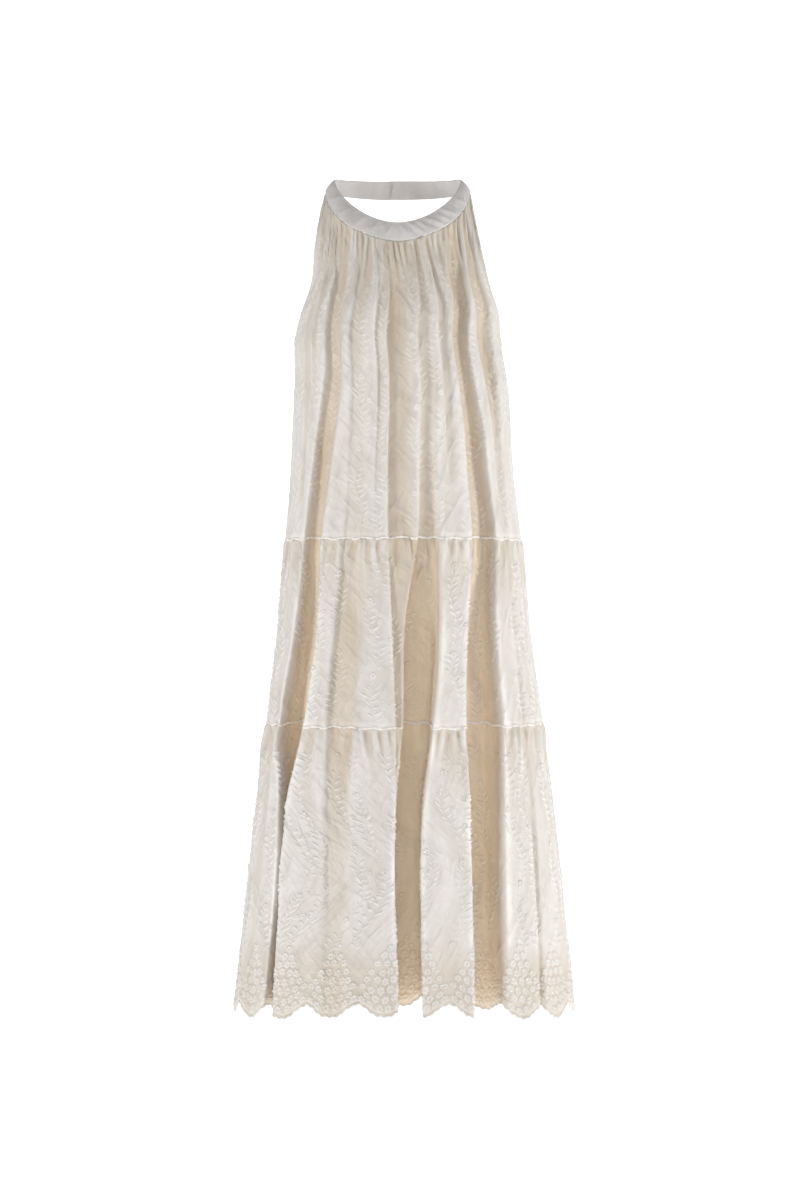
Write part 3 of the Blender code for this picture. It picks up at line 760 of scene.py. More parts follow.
def on_cloth(name, along, down, up):
    """Give points at heights above a panel: the surface point plus its outward normal times up."""
    surface, width, _ = SURFACES[name]
    here, inward = surface(along / width, down)
    right, _ = surface((along + PROBE) / width, down)
    lower, _ = surface(along / width, down + PROBE)
    normal = np.cross(lower - here, right - here)
    normal /= np.linalg.norm(normal, axis=-1, keepdims=True)
    return here + normal * up[..., None], inward


# %% Tubes
PUCKER_LENGTHS = (0.0011, 0.0029, 0.0047)
PUCKER_SWAY = 1.6
PIPE_POINTS = 10


def round_turn(count):
    """Give evenly spaced angles once round."""
    return np.linspace(0.0, 2.0 * pi, count, endpoint=False)


def squared(value, power):
    """Raise a value's size to a power below 1 and keep its sign, which makes an oval boxier."""
    return np.sign(value) * np.abs(value) ** power


def ring_quads(count, around):
    """Give the faces between neighbouring rings of points, closed all the way round."""
    index = np.arange(count * around).reshape(count, around)
    following = np.roll(index, -1, axis=1)
    quads = np.stack([index[:-1], index[1:], following[1:], following[:-1]], axis=-1)
    return index, quads.reshape(-1, 4)


def tube(name, rings, lengths, across, fold=None):
    """Skin rings of points: quads between neighbouring rings, and one face over each end.

    The UV map holds the length along the path and the distance round the profile.
    """
    count, around = rings.shape[:2]
    index, quads = ring_quads(count, around)
    faces = quads.tolist() + [index[0].tolist(), index[-1][::-1].tolist()]
    mesh = bpy.data.meshes.new(name)
    mesh.from_pydata(rings.reshape(-1, 3).tolist(), [], faces)
    skin = bmesh.new()
    skin.from_mesh(mesh)
    bmesh.ops.recalc_face_normals(skin, faces=skin.faces)
    skin.to_mesh(mesh)
    skin.free()
    flatten(mesh, np.stack([np.repeat(lengths, around), np.tile(across, count)], axis=-1), fold)
    return piece_of_dress(mesh)


def piped_edge(name, path, outward, proud, tall, pucker, seed):
    """Carry an oval along a path: proud and tall are its half sizes, outward and along the cloth.

    As sewn cloth puckers, it swells by two sines and sways by a third, and gets painted shade
    where thin.
    """
    length = length_along(path)
    tangent = np.gradient(path, axis=0)
    tangent /= np.linalg.norm(tangent, axis=1, keepdims=True)
    side = np.cross(tangent, outward)
    side /= np.linalg.norm(side, axis=1, keepdims=True)
    turn = round_turn(PIPE_POINTS)
    first, second, third = (np.sin(length / step + number * seed)
                            for number, step in enumerate(PUCKER_LENGTHS, 1))
    wave = first * 0.6 + second * 0.4
    swell = (1.0 + pucker * wave)[:, None, None]
    sway = (PUCKER_SWAY * pucker * tall * third)[:, None, None]
    out = outward[:, None, :] * (proud * np.cos(turn))[None, :, None] * swell
    up = side[:, None, :] * ((tall * np.sin(turn))[None, :, None] * (0.5 + 0.5 * swell) + sway)
    # Painted shade where the cord is thin, stored as its fold share.
    shade = np.repeat(0.5 * pucker * np.clip(-wave, 0.0, 1.0), PIPE_POINTS)
    thing = tube(name, path[:, None, :] + out + up, length, tall * turn, shade)
    print(name, round(length[-1], 3), "m")
    return thing

# %% [markdown]
# ## Seams between the tiers
#
# Each tier is sewn under the one above, and the gathers push the seam allowance outward into a
# narrow bright ridge, whose lighter colour than the dress is a painted highlight. It is an oval
# carried along the top of the lower tier, less than 4 mm tall and about 1 mm proud, that swells
# and sways a little, as gathered cloth does, with painted shade where it is thin.

# %% Tier seams
# One cord: how far it stands out, half its height, how much it puckers, and its seed.
SEAM_CORD = (0.0012, 0.0017, 0.34, 1.3)
SEAM_STEP = 0.0014
SEAM_INSET = 0.0015
SEAM_DROP = 0.0001


def panel_path(name, along, down):
    """Give a path on a panel and the outward direction at each of its points."""
    low, _ = on_cloth(name, along, down, np.zeros_like(along))
    high, _ = on_cloth(name, along, down, np.full_like(along, MM))
    return low, (high - low) / MM


def across_panel(name, margin, step):
    """Give places from side to side of a panel's cloth, a step apart."""
    _, width, _ = SURFACES[name]
    return np.linspace(margin, width - margin, int(width / step))


seams = []
for name in ("middle_front", "middle_back", "bottom_front", "bottom_back"):
    along = across_panel(name, SEAM_INSET, SEAM_STEP)
    path, outward = panel_path(name, along, np.full_like(along, SEAM_DROP))
    outward[:, 2] = 0.0
    seams.append(piped_edge(name + "_seam", path, outward, *SEAM_CORD))

# %% [markdown]
# ## Side seams and armhole edges
#
# The side seams are plain and narrow. Above the underarm the upper front has free edges, each
# bound with a strip of its own cloth: a firm round edge from the neckband to the elastic.

# %% Side seams and bindings
BINDING_CORD = (0.0016, 0.0028, 0.06, 0.7)
BINDING_LAP = 0.006
SIDE_CORD = (0.0010, 0.0013, 0.15, 2.1)
SIDE_OUT = 0.0004
SIDE_INSET = 0.0012
HEM_CLEAR = 0.004


def edge_path(name, far, start, end, count):
    """Give a path down one side edge of a panel, and its outward direction."""
    down = np.linspace(start, end, count)
    place = SURFACES[name][1] - SIDE_INSET if far else SIDE_INSET
    return panel_path(name, np.full_like(down, place), down)


def underarm_distance(far):
    """Find how far down the upper front's side edge the underarm is."""
    down = np.linspace(0.0, UPPER_LENGTH, 400)
    path, _ = edge_path("upper_front", far, 0.0, UPPER_LENGTH, 400)
    return float(np.interp(-UNDERARM, -path[:, 2], down))


edges = []
for far, side_name in ((False, "left"), (True, "right")):
    meet = underarm_distance(far)
    path, outward = edge_path("upper_front", far, 0.0, meet + BINDING_LAP, 150)
    edges.append(piped_edge(side_name + "_armhole_binding", path, outward, *BINDING_CORD))
    for tier, start, end in (("upper_front", meet, UPPER_LENGTH),
                             ("middle_front", 0.0, MIDDLE_LENGTH),
                             ("bottom_front", 0.0, BOTTOM_LENGTH - HEM_CLEAR)):
        path, outward = edge_path(tier, far, start, end, 110)
        path[:, 1] += SIDE_OUT
        name = tier + "_" + side_name + "_side_seam"
        edges.append(piped_edge(name, path, outward, *SIDE_CORD))

# %% [markdown]
# ## The elastic at the back
#
# The bare back ends in a straight top edge that is drawn in by elastic inside a casing. The casing
# is a flat tube of the same cloth that follows the gathers of the panel under it. It is made by
# carrying a flat oval along the edge, on the panel's own surface.

# %% Elastic casing
CASING_HEIGHT = 0.014
CASING_HALF_THICKNESS = 0.0019


def elastic_casing():
    """Carry a flat oval along the back edge: its places are read on the upper back's surface."""
    along = across_panel("upper_back", 0.001, 0.0016)
    turn = round_turn(20)
    down = 0.5 * CASING_HEIGHT * (1.0 + squared(np.cos(turn), 0.6))
    thick = CASING_HALF_THICKNESS * squared(np.sin(turn), 0.8)
    along_grid, down_grid = np.meshgrid(along, down, indexing="ij")
    rings, inward = on_cloth("upper_back", along_grid, down_grid, np.tile(thick, (len(along), 1)))
    return tube("elastic_casing", rings, along, down, painted_fold_share(inward))


edges.append(elastic_casing())
print("casing:", len(edges[-1].data.polygons), "faces")

# %% [markdown]
# ## The neckband
#
# The band is two layers of smoother cotton, cut as a strip that is narrower at the back and
# closes there, one end over the other. It is a closed rounded strip: a flattened oval carried
# from the end that lies beneath, round the front, to the end that lies on top. Light catches
# short slanted creases on it, listed in a table, most of them on the +X half.

# %% Neckband surface
BAND_CROWN = 0.0012
BAND_THICKNESS = 0.0028
BAND_UNDER_END = -170.0
BAND_OVER_END = 190.0
BAND_LIFT = 0.0034
BAND_RADIUS = 0.09
BAND_HEIGHT = 0.028
STITCHED_SHARES = (0.10, 0.90)
GROOVE_HALF = 0.03
GROOVE_DEPTH = 0.0003
CREASE_FACTOR = 0.0024
# One crease: its angle, slant and half width in degrees, height, and middle and reach as shares.
BAND_CREASES = (
    (6.0, 9.0, 1.3, 0.8, 0.45, 0.6),
    (12.0, 12.0, 1.0, -0.7, 0.55, 0.6),
    (17.0, 15.0, 1.4, 0.9, 0.50, 0.7),
    (24.0, 14.0, 1.2, 0.8, 0.40, 0.5),
    (29.0, 17.0, 1.1, -0.8, 0.55, 0.6),
    (34.0, 16.0, 1.5, 1.0, 0.50, 0.7),
    (42.0, 13.0, 1.3, 0.8, 0.60, 0.5),
    (50.0, 15.0, 1.6, 1.0, 0.45, 0.7),
    (58.0, 12.0, 1.2, -0.7, 0.50, 0.5),
    (66.0, 14.0, 1.5, 0.9, 0.55, 0.6),
    (-8.0, -7.0, 1.4, 0.6, 0.50, 0.6),
    (-21.0, -9.0, 1.6, 0.6, 0.45, 0.6),
    (-35.0, -10.0, 1.6, 0.7, 0.55, 0.6),
    (-52.0, -12.0, 1.8, 0.6, 0.50, 0.6),
    (-69.0, -10.0, 1.6, 0.5, 0.45, 0.5),
    (100.0, 10.0, 2.0, 0.6, 0.50, 0.6),
    (126.0, 8.0, 2.0, 0.5, 0.50, 0.6),
    (-98.0, -9.0, 2.0, 0.6, 0.50, 0.6),
    (-131.0, -8.0, 2.0, 0.5, 0.50, 0.6),
)


def band_points(angle, share, up):
    """Give points on the band at a share of its height, a distance out from its middle layer."""
    upper = band_edge(angle, "upper")
    lower = band_edge(angle, "lower")
    turn = np.radians(angle)
    along = np.stack([np.cos(turn), np.sin(turn), np.zeros_like(turn)], axis=-1)
    normal = np.cross(along, upper - lower)
    normal /= np.linalg.norm(normal, axis=-1, keepdims=True)
    lift = BAND_LIFT * smooth_step(135.0, 164.0, angle)
    out = BAND_CROWN * np.sin(pi * np.clip(share, 0.0, 1.0)) + lift + up
    return upper + (lower - upper) * share[..., None] + normal * out[..., None]


def band_creases(angle, share):
    """Sum slanted ridges: exp of minus the squared distance from each crease's line."""
    total = np.zeros_like(angle)
    for place, slant, half, height, middle, reach in BAND_CREASES:
        away = (angle - place - slant * (share - 0.5)) / half
        along = (share - middle) / (0.5 * reach)
        total += CREASE_FACTOR * height * np.exp(-away ** 2) * np.exp(-along ** 2)
    return total


def neckband():
    """Carry a flattened oval round the neck, with two stitched grooves and the slanted creases."""
    angle = np.linspace(BAND_UNDER_END, BAND_OVER_END, 480)
    turn = round_turn(32)
    share = 0.5 - 0.5 * squared(np.cos(turn), 0.75)
    thick = 0.5 * BAND_THICKNESS * squared(np.sin(turn), 0.35)
    angle_grid, share_grid = np.meshgrid(angle, share, indexing="ij")
    outer = np.clip(np.sin(turn) * 3.0, 0.0, 1.0)[None, :]
    groove = sum(np.exp(-((share_grid - line) / GROOVE_HALF) ** 2) for line in STITCHED_SHARES)
    face = outer * (band_creases(angle_grid, share_grid) - GROOVE_DEPTH * groove)
    rings = band_points(angle_grid, share_grid, thick[None, :] + face)
    thing = tube("neckband_cloth", rings, np.radians(angle) * BAND_RADIUS, share * BAND_HEIGHT,
                 np.zeros(rings.shape[:2]))
    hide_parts("neckband")
    return thing


band = neckband()
print("neckband:", len(band.data.polygons), "faces")

# %% [markdown]
# ## Repeated stitches and motifs
#
# A motif is one small shape in its own flat place: across, along and up. Copies are made all at
# once: each has a place, a turn and a size, and every point of every copy goes through the same
# surface function. The copies are one mesh, so hundreds of flowers are a single piece.

# %% Copies on the cloth
SEWN_MARGIN = 0.0005
TALLEST = 1.2


def patch(columns, rows, reach, height):
    """Make a small grid, from -1 to 1 each way, as (across, along, up) with its faces.

    reach gives across and along from the two shares, and height gives up from them.
    """
    a, b = np.meshgrid(np.linspace(-1.0, 1.0, columns + 1), np.linspace(-1.0, 1.0, rows + 1))
    points = np.stack([*reach(a, b), height(a, b)], axis=-1).reshape(-1, 3)
    return points, grid_quads(rows + 1, columns + 1)[:, ::-1]


def copied_quads(faces, points, count):
    """Number the faces of each copy of a shape."""
    return (np.arange(count)[:, None, None] * len(points) + faces[None]).reshape(-1, 4)


def sewn_copies(name, panel, shape, along, down, turn, size, relief=1.0, raised=0.0):
    """Join copies of a shape on a panel: turn each, scale it, move it, and lay it on the cloth.

    Relief scales their height, and their painted fold shade is read from a fold shallower by
    raised.
    """
    points, faces = shape
    cos, sin = np.cos(turn)[:, None], np.sin(turn)[:, None]
    x = points[None, :, 0] * size[:, None]
    y = points[None, :, 1] * size[:, None]
    _, width, length = SURFACES[panel]
    cloth_along = along[:, None] + x * cos - y * sin
    cloth_down = down[:, None] - x * sin - y * cos
    cloth_along = np.clip(cloth_along, SEWN_MARGIN, width - SEWN_MARGIN)
    cloth_down = np.clip(cloth_down, SEWN_MARGIN, length - SEWN_MARGIN)
    up = relief * np.repeat(points[None, :, 2], len(along), axis=0)
    up = up * np.minimum(size / size.mean(), TALLEST)[:, None]
    placed, inward = on_cloth(panel, cloth_along, cloth_down, up + 0.5 * COTTON_WALL)
    quads = copied_quads(faces, points, len(along))
    # The copies' painted fold shade, made less by raised.
    fold = painted_fold_share(np.maximum(inward - raised, 0.0))
    embroidery.append(piece_of_dress(
        quad_mesh(panel + name, placed, quads, np.stack([x, y], axis=-1), fold)))
    print(panel + name + ":", len(along))


embroidery = []

# %% [markdown]
# ## Flowers above the hem
#
# Small round flowers fill a peak over each lobe of the hem, in rows of five and six low down
# and of fewer above. A flower has six petals round an open middle: on a round grid its edge is
# 0.84 + 0.16 times the cosine of six times the angle, and its height is one wave from the middle
# to the edge. They keep to the hem's curve, because the cloth itself does near its edge.

# %% Flower shape
FLOWER_RADIUS = 0.0066
THREAD_HEIGHT = 0.0019
FLOWER_POINTS = 18
PETALS = 6.0
FLOWER_RINGS = np.array(((0.14, 0.02), (0.34, 0.72), (0.72, 1.0), (1.0, -0.25)))


def flower():
    """Give a six-petalled round patch: rings of points whose heights rise and fall."""
    radii, heights = FLOWER_RINGS[:, :1], FLOWER_RINGS[:, 1:]
    turn = round_turn(FLOWER_POINTS)
    petal = 0.84 + 0.16 * np.cos(PETALS * turn)
    groove = 0.62 + 0.38 * np.cos(PETALS * turn)
    reach = radii * (1.0 + (petal - 1.0)[None, :] * radii)
    up = THREAD_HEIGHT * heights * np.where(heights > 0.5, groove[None, :], 1.0)
    points = np.stack([reach * np.cos(turn), reach * np.sin(turn), up], axis=-1).reshape(-1, 3)
    middle = np.array([[0.0, 0.0, -0.1 * THREAD_HEIGHT]])
    index, quads = ring_quads(len(radii), FLOWER_POINTS)
    first = index[0, 0::2]
    inner = np.stack([np.full(len(first), len(points)), first, index[0, 1::2],
                      np.roll(first, -1)], axis=-1)
    return np.concatenate([points, middle]), np.concatenate([quads, inner])

# %% Flower places
FLOWERS_IN_ROW = (6, 5, 6, 5, 4, 3, 2, 1)
FLOWER_PITCH = 0.0124
FLOWER_ROW_PITCH = 0.0108
FLOWER_EDGE = 0.0100
FLOWER_DRIFT = 0.0009


def flower_places(panel, seed):
    """Stack rows of flowers over each lobe, with a little seeded drift from their true places."""
    rng = np.random.default_rng(seed)
    _, width, length = SURFACES[panel]
    along, down = [], []
    for lobe in range(-1, int(width / LOBE_WIDTH) + 2):
        middle = (lobe + 0.5 - LOBE_SHIFT) * LOBE_WIDTH
        for row, count in enumerate(FLOWERS_IN_ROW):
            along.append(middle + (np.arange(count) - 0.5 * (count - 1)) * FLOWER_PITCH)
            down.append(np.full(count, length - FLOWER_EDGE - row * FLOWER_ROW_PITCH))
    along, down = (place + rng.normal(0.0, FLOWER_DRIFT, len(place))
                   for place in map(np.concatenate, (along, down)))
    kept = (along > FLOWER_RADIUS) & (along < width - FLOWER_RADIUS)
    turn = rng.uniform(0.0, pi, kept.sum())
    size = FLOWER_RADIUS * rng.uniform(0.90, 1.06, kept.sum())
    return along[kept], down[kept], turn, size


# The flowers take less of the hem's painted shade than the cloth under them.
for panel, seed in (("bottom_front", 61), ("bottom_back", 67)):
    places = flower_places(panel, seed)
    sewn_copies("_flowers", panel, flower(), *places, raised=0.6 * HEM_SHADE)

# %% [markdown]
# ## The overcast edge
#
# The edge is cut in small scallops along each lobe and closed with satin stitch, a firm bright
# cord. An oval is carried along the scalloped edge, on the cloth's own surface. A second cord,
# finer and a little higher up, frames the flowers.

# %% Hem edges
EDGE_PROUD = 0.0012
EDGE_TALL = 0.0015
EDGE_PUCKER = (0.22, 0.4)
EDGE_INSET = 0.0012
# One cord: its name, its rise above the edge, its size and the step along it.
HEM_CORDS = (("_edge_cord", 0.0009, 1.0, 0.0012), ("_frame_cord", 0.0052, 0.6, 0.0018))

for panel in ("bottom_front", "bottom_back"):
    for name, rise, size, step in HEM_CORDS:
        along = across_panel(panel, EDGE_INSET, step)
        path, outward = panel_path(panel, along, np.full_like(along, SURFACES[panel][2] - rise))
        embroidery.append(piped_edge(panel + name, path, outward,
                                     EDGE_PROUD * size, EDGE_TALL * size, *EDGE_PUCKER))

# %% [markdown]
# ## Leaf sprays
#
# Over the whole cloth run upright sprays of narrow leaves, in the cloth's own colour. A spray is
# a stem with leaves set in slanting pairs, and sprays follow each other down lines that start
# at different heights. A leaf is a bent pointed oval, half a cosine wide and high. The stem is
# a run of short stitches.

# %% Leaf and stitch shapes
def leaf():
    """Give a pointed oval: its half width is a power of the cosine along it, its height too."""
    def reach(a, b):
        return 0.30 * a * np.cos(0.5 * pi * b) ** 0.8 + 0.12 * (1.0 - b * b), b

    def height(a, b):
        rise = np.cos(0.5 * pi * a) * np.cos(0.5 * pi * b) ** 0.6
        return THREAD_HEIGHT * (rise * 1.15 - 0.18)

    return patch(2, 4, reach, height)


def stitch():
    """Give a short rounded stitch, four times as long as it is wide."""
    def reach(a, b):
        return 0.25 * a * np.cos(0.45 * pi * b), b

    def height(a, b):
        return 0.0007 * np.cos(0.5 * pi * a) * np.cos(0.5 * pi * b) ** 0.5 - 0.0001

    return patch(2, 3, reach, height)

# %% Spray places
SPRAY_STEPS = (0.034, 0.058)
SPRAY_RUN = 0.112
LEAVES_ON_SPRAY = 11
LEAF_HALF_LENGTH = 0.0080
STEM_SWAY = 0.007
LEAF_REACH = 1.05
LEAF_LEAN = (0.80, 1.15)
LEAF_SIZES = (0.8, 1.12)
SPRAY_SPAN = (0.72, 0.95)
STEM_STITCHES = 24
STEM_STITCH_SIZE = 0.0026
SPRAY_MARGIN = 0.009


def spray_places(panel, top, bottom, seed):
    """Set sprays on upright lines: leaves in pairs up a swaying stem, stitches and small blossoms.

    The stem's place sways by 7 mm times the sine of its share, and each leaf leans away from it.
    """
    rng = np.random.default_rng(seed)
    _, width, _ = SURFACES[panel]
    leaves, stitches, blossoms = [], [], []
    centre, line = 0.5 * SPRAY_STEPS[0], 0
    while centre < width:
        hand = 1.0 if line % 2 else -1.0
        first = top - rng.uniform(0.0, 0.9) * SPRAY_RUN
        for begin in np.arange(first, bottom, SPRAY_RUN):
            span = SPRAY_RUN * rng.uniform(*SPRAY_SPAN)
            share = (np.arange(LEAVES_ON_SPRAY) + 0.5) / LEAVES_ON_SPRAY
            sway = STEM_SWAY * np.sin(2.0 * pi * share) * hand
            taper = 0.62 + 0.38 * np.sin(pi * np.clip(share + 0.12, 0.0, 1.0))
            for way in (-1.0, 1.0):
                lean = way * rng.uniform(*LEAF_LEAN, LEAVES_ON_SPRAY) - 0.12 * hand
                size = LEAF_HALF_LENGTH * taper * rng.uniform(*LEAF_SIZES, LEAVES_ON_SPRAY)
                out = LEAF_REACH * size
                place = centre + sway + out * np.sin(lean)
                depth = begin + share * span - out * np.cos(lean)
                depth = depth + 0.25 * way * span / LEAVES_ON_SPRAY
                leaves.append(np.stack([place, depth, -lean, size], axis=-1))
            fine = np.linspace(0.02, 0.98, STEM_STITCHES)
            stem = centre + STEM_SWAY * np.sin(2.0 * pi * fine) * hand
            slope = STEM_SWAY * 2.0 * pi * np.cos(2.0 * pi * fine) * hand / span
            stitches.append(np.stack([stem, begin + fine * span, np.arctan(slope),
                                      np.full_like(fine, STEM_STITCH_SIZE)], axis=-1))
            blossoms.append(np.array([[centre - 0.011 * hand, begin + 0.30 * span, 0.3, 0.0050],
                                      [centre + 0.002 * hand, begin + span + 0.007, 0.9, 0.0060]]))
        centre += SPRAY_STEPS[line % 2] * rng.uniform(0.9, 1.1)
        line += 1
    kept = []
    for rows in map(np.concatenate, (leaves, stitches, blossoms)):
        inside = (rows[:, 0] > SPRAY_MARGIN) & (rows[:, 0] < width - SPRAY_MARGIN)
        inside &= (rows[:, 1] > top) & (rows[:, 1] < bottom)
        kept.append(rows[inside])
    return kept


# One panel: how far down its sprays begin and how far from its end they stop, seed and relief.
SPRAYED = (
    ("upper_front", 0.045, 0.010, 71, 0.42),
    ("upper_back", 0.028, 0.010, 73, 0.50),
    ("middle_front", 0.028, 0.010, 79, 0.85),
    ("middle_back", 0.028, 0.010, 83, 0.85),
    ("bottom_front", 0.035, 0.085, 89, 1.0),
    ("bottom_back", 0.035, 0.085, 97, 1.0),
)
MOTIFS = (("_leaves", leaf()), ("_stems", stitch()), ("_blossoms", flower()))
for panel, top, short, seed, relief in SPRAYED:
    kinds = spray_places(panel, top, SURFACES[panel][2] - short, seed)
    for (name, shape), places in zip(MOTIFS, kinds):
        sewn_copies(name, panel, shape, *places.T, relief)

# %% [markdown]
# ## Topstitching and the button
#
# The neckband is topstitched along both edges, with stitches about 2.5 mm long. At centre back
# a four-hole shell button closes it. The button is a turned shape: rings whose height follows a
# raised rim and a dished middle, less a small pit for each hole. Two bars of thread hold it.

# %% Band stitches
STITCH_PITCH = 0.0034
STITCH_SIZE = 0.00125
STITCH_SUNK = 0.0002
STITCH_WIDER = 1.3
STITCH_LOWER = 0.7
STITCHED_ARC = (-166.0, 186.0)
FACE_RADIUS = 0.088


def band_stitches():
    """Copy one stitch along both edges of the band, each laid on the band's own curved face."""
    points, faces = stitch()
    angle = np.arange(*STITCHED_ARC, np.degrees(STITCH_PITCH / BAND_RADIUS))
    share = np.repeat(STITCHED_SHARES, len(angle))
    angle = np.tile(angle, 2)
    around = angle[:, None] + np.degrees(points[None, :, 1] * STITCH_SIZE / FACE_RADIUS)
    height = share[:, None] + points[None, :, 0] * STITCH_SIZE * STITCH_WIDER / BAND_HEIGHT
    up = 0.5 * BAND_THICKNESS - STITCH_SUNK + STITCH_LOWER * points[None, :, 2]
    placed = band_points(around, height, up + band_creases(around, height))
    quads = copied_quads(faces, points, len(angle))[:, ::-1]
    local = np.tile(points[:, :2] * STITCH_SIZE, (len(angle), 1))
    fold = np.zeros(placed.shape[:2])
    return piece_of_dress(quad_mesh("band_stitches", placed, quads, local, fold))


topstitching = band_stitches()
print("band stitches:", len(topstitching.data.polygons) // 6)

# %% Button
BUTTON_RADIUS = 0.0055
BUTTON_THICKNESS = 0.0024
HOLE_OFFSET = 0.00115
HOLE_RADIUS = 0.00055
HOLE_DEPTH = 0.0011
BAR_RADIUS = 0.00028
BAR_RISE = 0.0009


def button_frame():
    """Give the button's middle on the overlap, and its across, up and outward directions."""
    low, high = band_points(np.full(2, 180.0), np.full(2, 0.5), np.array([0.0, MM]))
    out = (high - low) / MM
    across = np.array((-1.0, 0.0, 0.0))
    middle = low + out * (0.0012 + SEAM_GAP + 0.5 * BUTTON_THICKNESS)
    return middle, across, np.cross(out, across), out


def shell_button():
    """Turn the profile: flat back, round rim, raised ring and dished middle with four pits."""
    middle, across, up, out = button_frame()
    dish = np.linspace(0.88, 0.03, 26)
    radius = np.concatenate([np.linspace(0.05, 0.9, 6), [0.97, 1.0, 0.985, 0.94], dish])
    height = np.concatenate([np.full(6, -1.0), [-0.85, 0.0, 0.7, 0.95],
                             1.0 - 0.55 * smooth_step(0.80, 0.55, dish)])
    turn = round_turn(56)
    x = BUTTON_RADIUS * radius[:, None] * np.cos(turn)[None, :]
    y = BUTTON_RADIUS * radius[:, None] * np.sin(turn)[None, :]
    z = 0.5 * BUTTON_THICKNESS * np.repeat(height[:, None], len(turn), axis=1)
    front = (np.arange(len(radius)) >= len(radius) - len(dish))[:, None]
    for side in (-1.0, 1.0):
        for level in (-1.0, 1.0):
            away = np.hypot(x - side * HOLE_OFFSET, y - level * HOLE_OFFSET)
            z = z - front * HOLE_DEPTH * np.exp(-(away / HOLE_RADIUS) ** 4)
    rings = middle + x[..., None] * across + y[..., None] * up + z[..., None] * out
    thing = tube("shell_button", rings, radius * BUTTON_RADIUS, turn * 0.003)
    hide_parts("neck_button")
    return thing


def button_thread(number, side):
    """Carry a round thread over a pair of holes: a low arch, the root of half a sine high."""
    middle, across, up, out = button_frame()
    share = np.linspace(0.0, 1.0, 15)
    turn = round_turn(8)
    x = HOLE_OFFSET * side + BAR_RADIUS * np.cos(turn)
    y = HOLE_OFFSET * (2.0 * share - 1.0)
    z = 0.0001 + BAR_RISE * np.sin(pi * share) ** 0.5
    lift = BAR_RADIUS * np.sin(turn)
    rings = (middle + x[None, :, None] * across + y[:, None, None] * up
             + (z[:, None] + lift[None, :])[..., None] * out)
    return tube("button_thread_" + str(number), rings, y, turn * 0.0003,
                np.zeros(rings.shape[:2]))


button = shell_button()
bars = [button_thread(number, side) for number, side in enumerate((-1.0, 1.0))]
print("button:", len(button.data.polygons), "faces, middle", button_frame()[0].round(4))

# %% [markdown]
# ## Finishes as node groups
#
# Three effects are shared by several materials, so each is a node group with named sockets. The
# weave is two crossed sines of the thread's width, broken by a stretched noise as uneven yarn
# is. The crumple is two ridged noises drawn out aslant, for the small creases of washed
# cotton. The third paints light and shade into the colour: from the cloth's lit colour, over a
# darker painted shade on the slope of a fold, to a warm painted glow deep down that stands in for
# light gone through several layers, with a lighter painted highlight on lips beside a recess.

# %% Node helpers
def new_group(name, inputs, outputs):
    """Start a shader node group from (socket, type, value) inputs and (socket, type) outputs."""
    group = bpy.data.node_groups.new(name, "ShaderNodeTree")
    for socket, kind, value in inputs:
        made = group.interface.new_socket(
            name=socket, in_out="INPUT", socket_type="NodeSocket" + kind)
        made.default_value = value
    for socket, kind in outputs:
        group.interface.new_socket(
            name=socket, in_out="OUTPUT", socket_type="NodeSocket" + kind)
    given = group.nodes.new("NodeGroupInput").outputs
    return group, given, group.nodes.new("NodeGroupOutput").inputs


def put(tree, socket, value):
    """Feed a socket from another socket, or set it to a plain value."""
    if isinstance(value, bpy.types.NodeSocket):
        tree.links.new(value, socket)
    else:
        socket.default_value = value


def calculate(tree, operation, *values):
    """Add a Math node and return its result."""
    node = tree.nodes.new("ShaderNodeMath")
    node.operation = operation
    for socket, value in zip(node.inputs, values):
        put(tree, socket, value)
    return node.outputs[0]


def limited(tree, value):
    """Keep a value between 0 and 1."""
    return calculate(tree, "MINIMUM", calculate(tree, "MAXIMUM", value, 0.0), 1.0)


def stretch(tree, vector, scale):
    """Multiply a vector by a scale for each axis."""
    node = tree.nodes.new("ShaderNodeVectorMath")
    node.operation = "MULTIPLY"
    put(tree, node.inputs[0], vector)
    put(tree, node.inputs[1], scale)
    return node.outputs[0]


def turned(tree, vector, angle):
    """Turn a flat pattern by an angle with a Mapping node."""
    node = tree.nodes.new("ShaderNodeMapping")
    put(tree, node.inputs["Vector"], vector)
    node.inputs["Rotation"].default_value = (0.0, 0.0, angle)
    return node.outputs[0]


def noise(tree, vector, scale, detail, roughness=0.5):
    """Add a Noise Texture and return its value, from 0 to 1 around 0.5."""
    node = tree.nodes.new("ShaderNodeTexNoise")
    put(tree, node.inputs["Vector"], vector)
    put(tree, node.inputs["Scale"], scale)
    node.inputs["Detail"].default_value = detail
    node.inputs["Roughness"].default_value = roughness
    return node.outputs["Fac"]


def blend_colour(tree, share, first, second, way="MIX"):
    """Mix two colours by a share."""
    node = tree.nodes.new("ShaderNodeMix")
    node.data_type = "RGBA"
    node.blend_type = way
    put(tree, node.inputs["Factor"], share)
    put(tree, node.inputs[6], first)
    put(tree, node.inputs[7], second)
    return node.outputs[2]


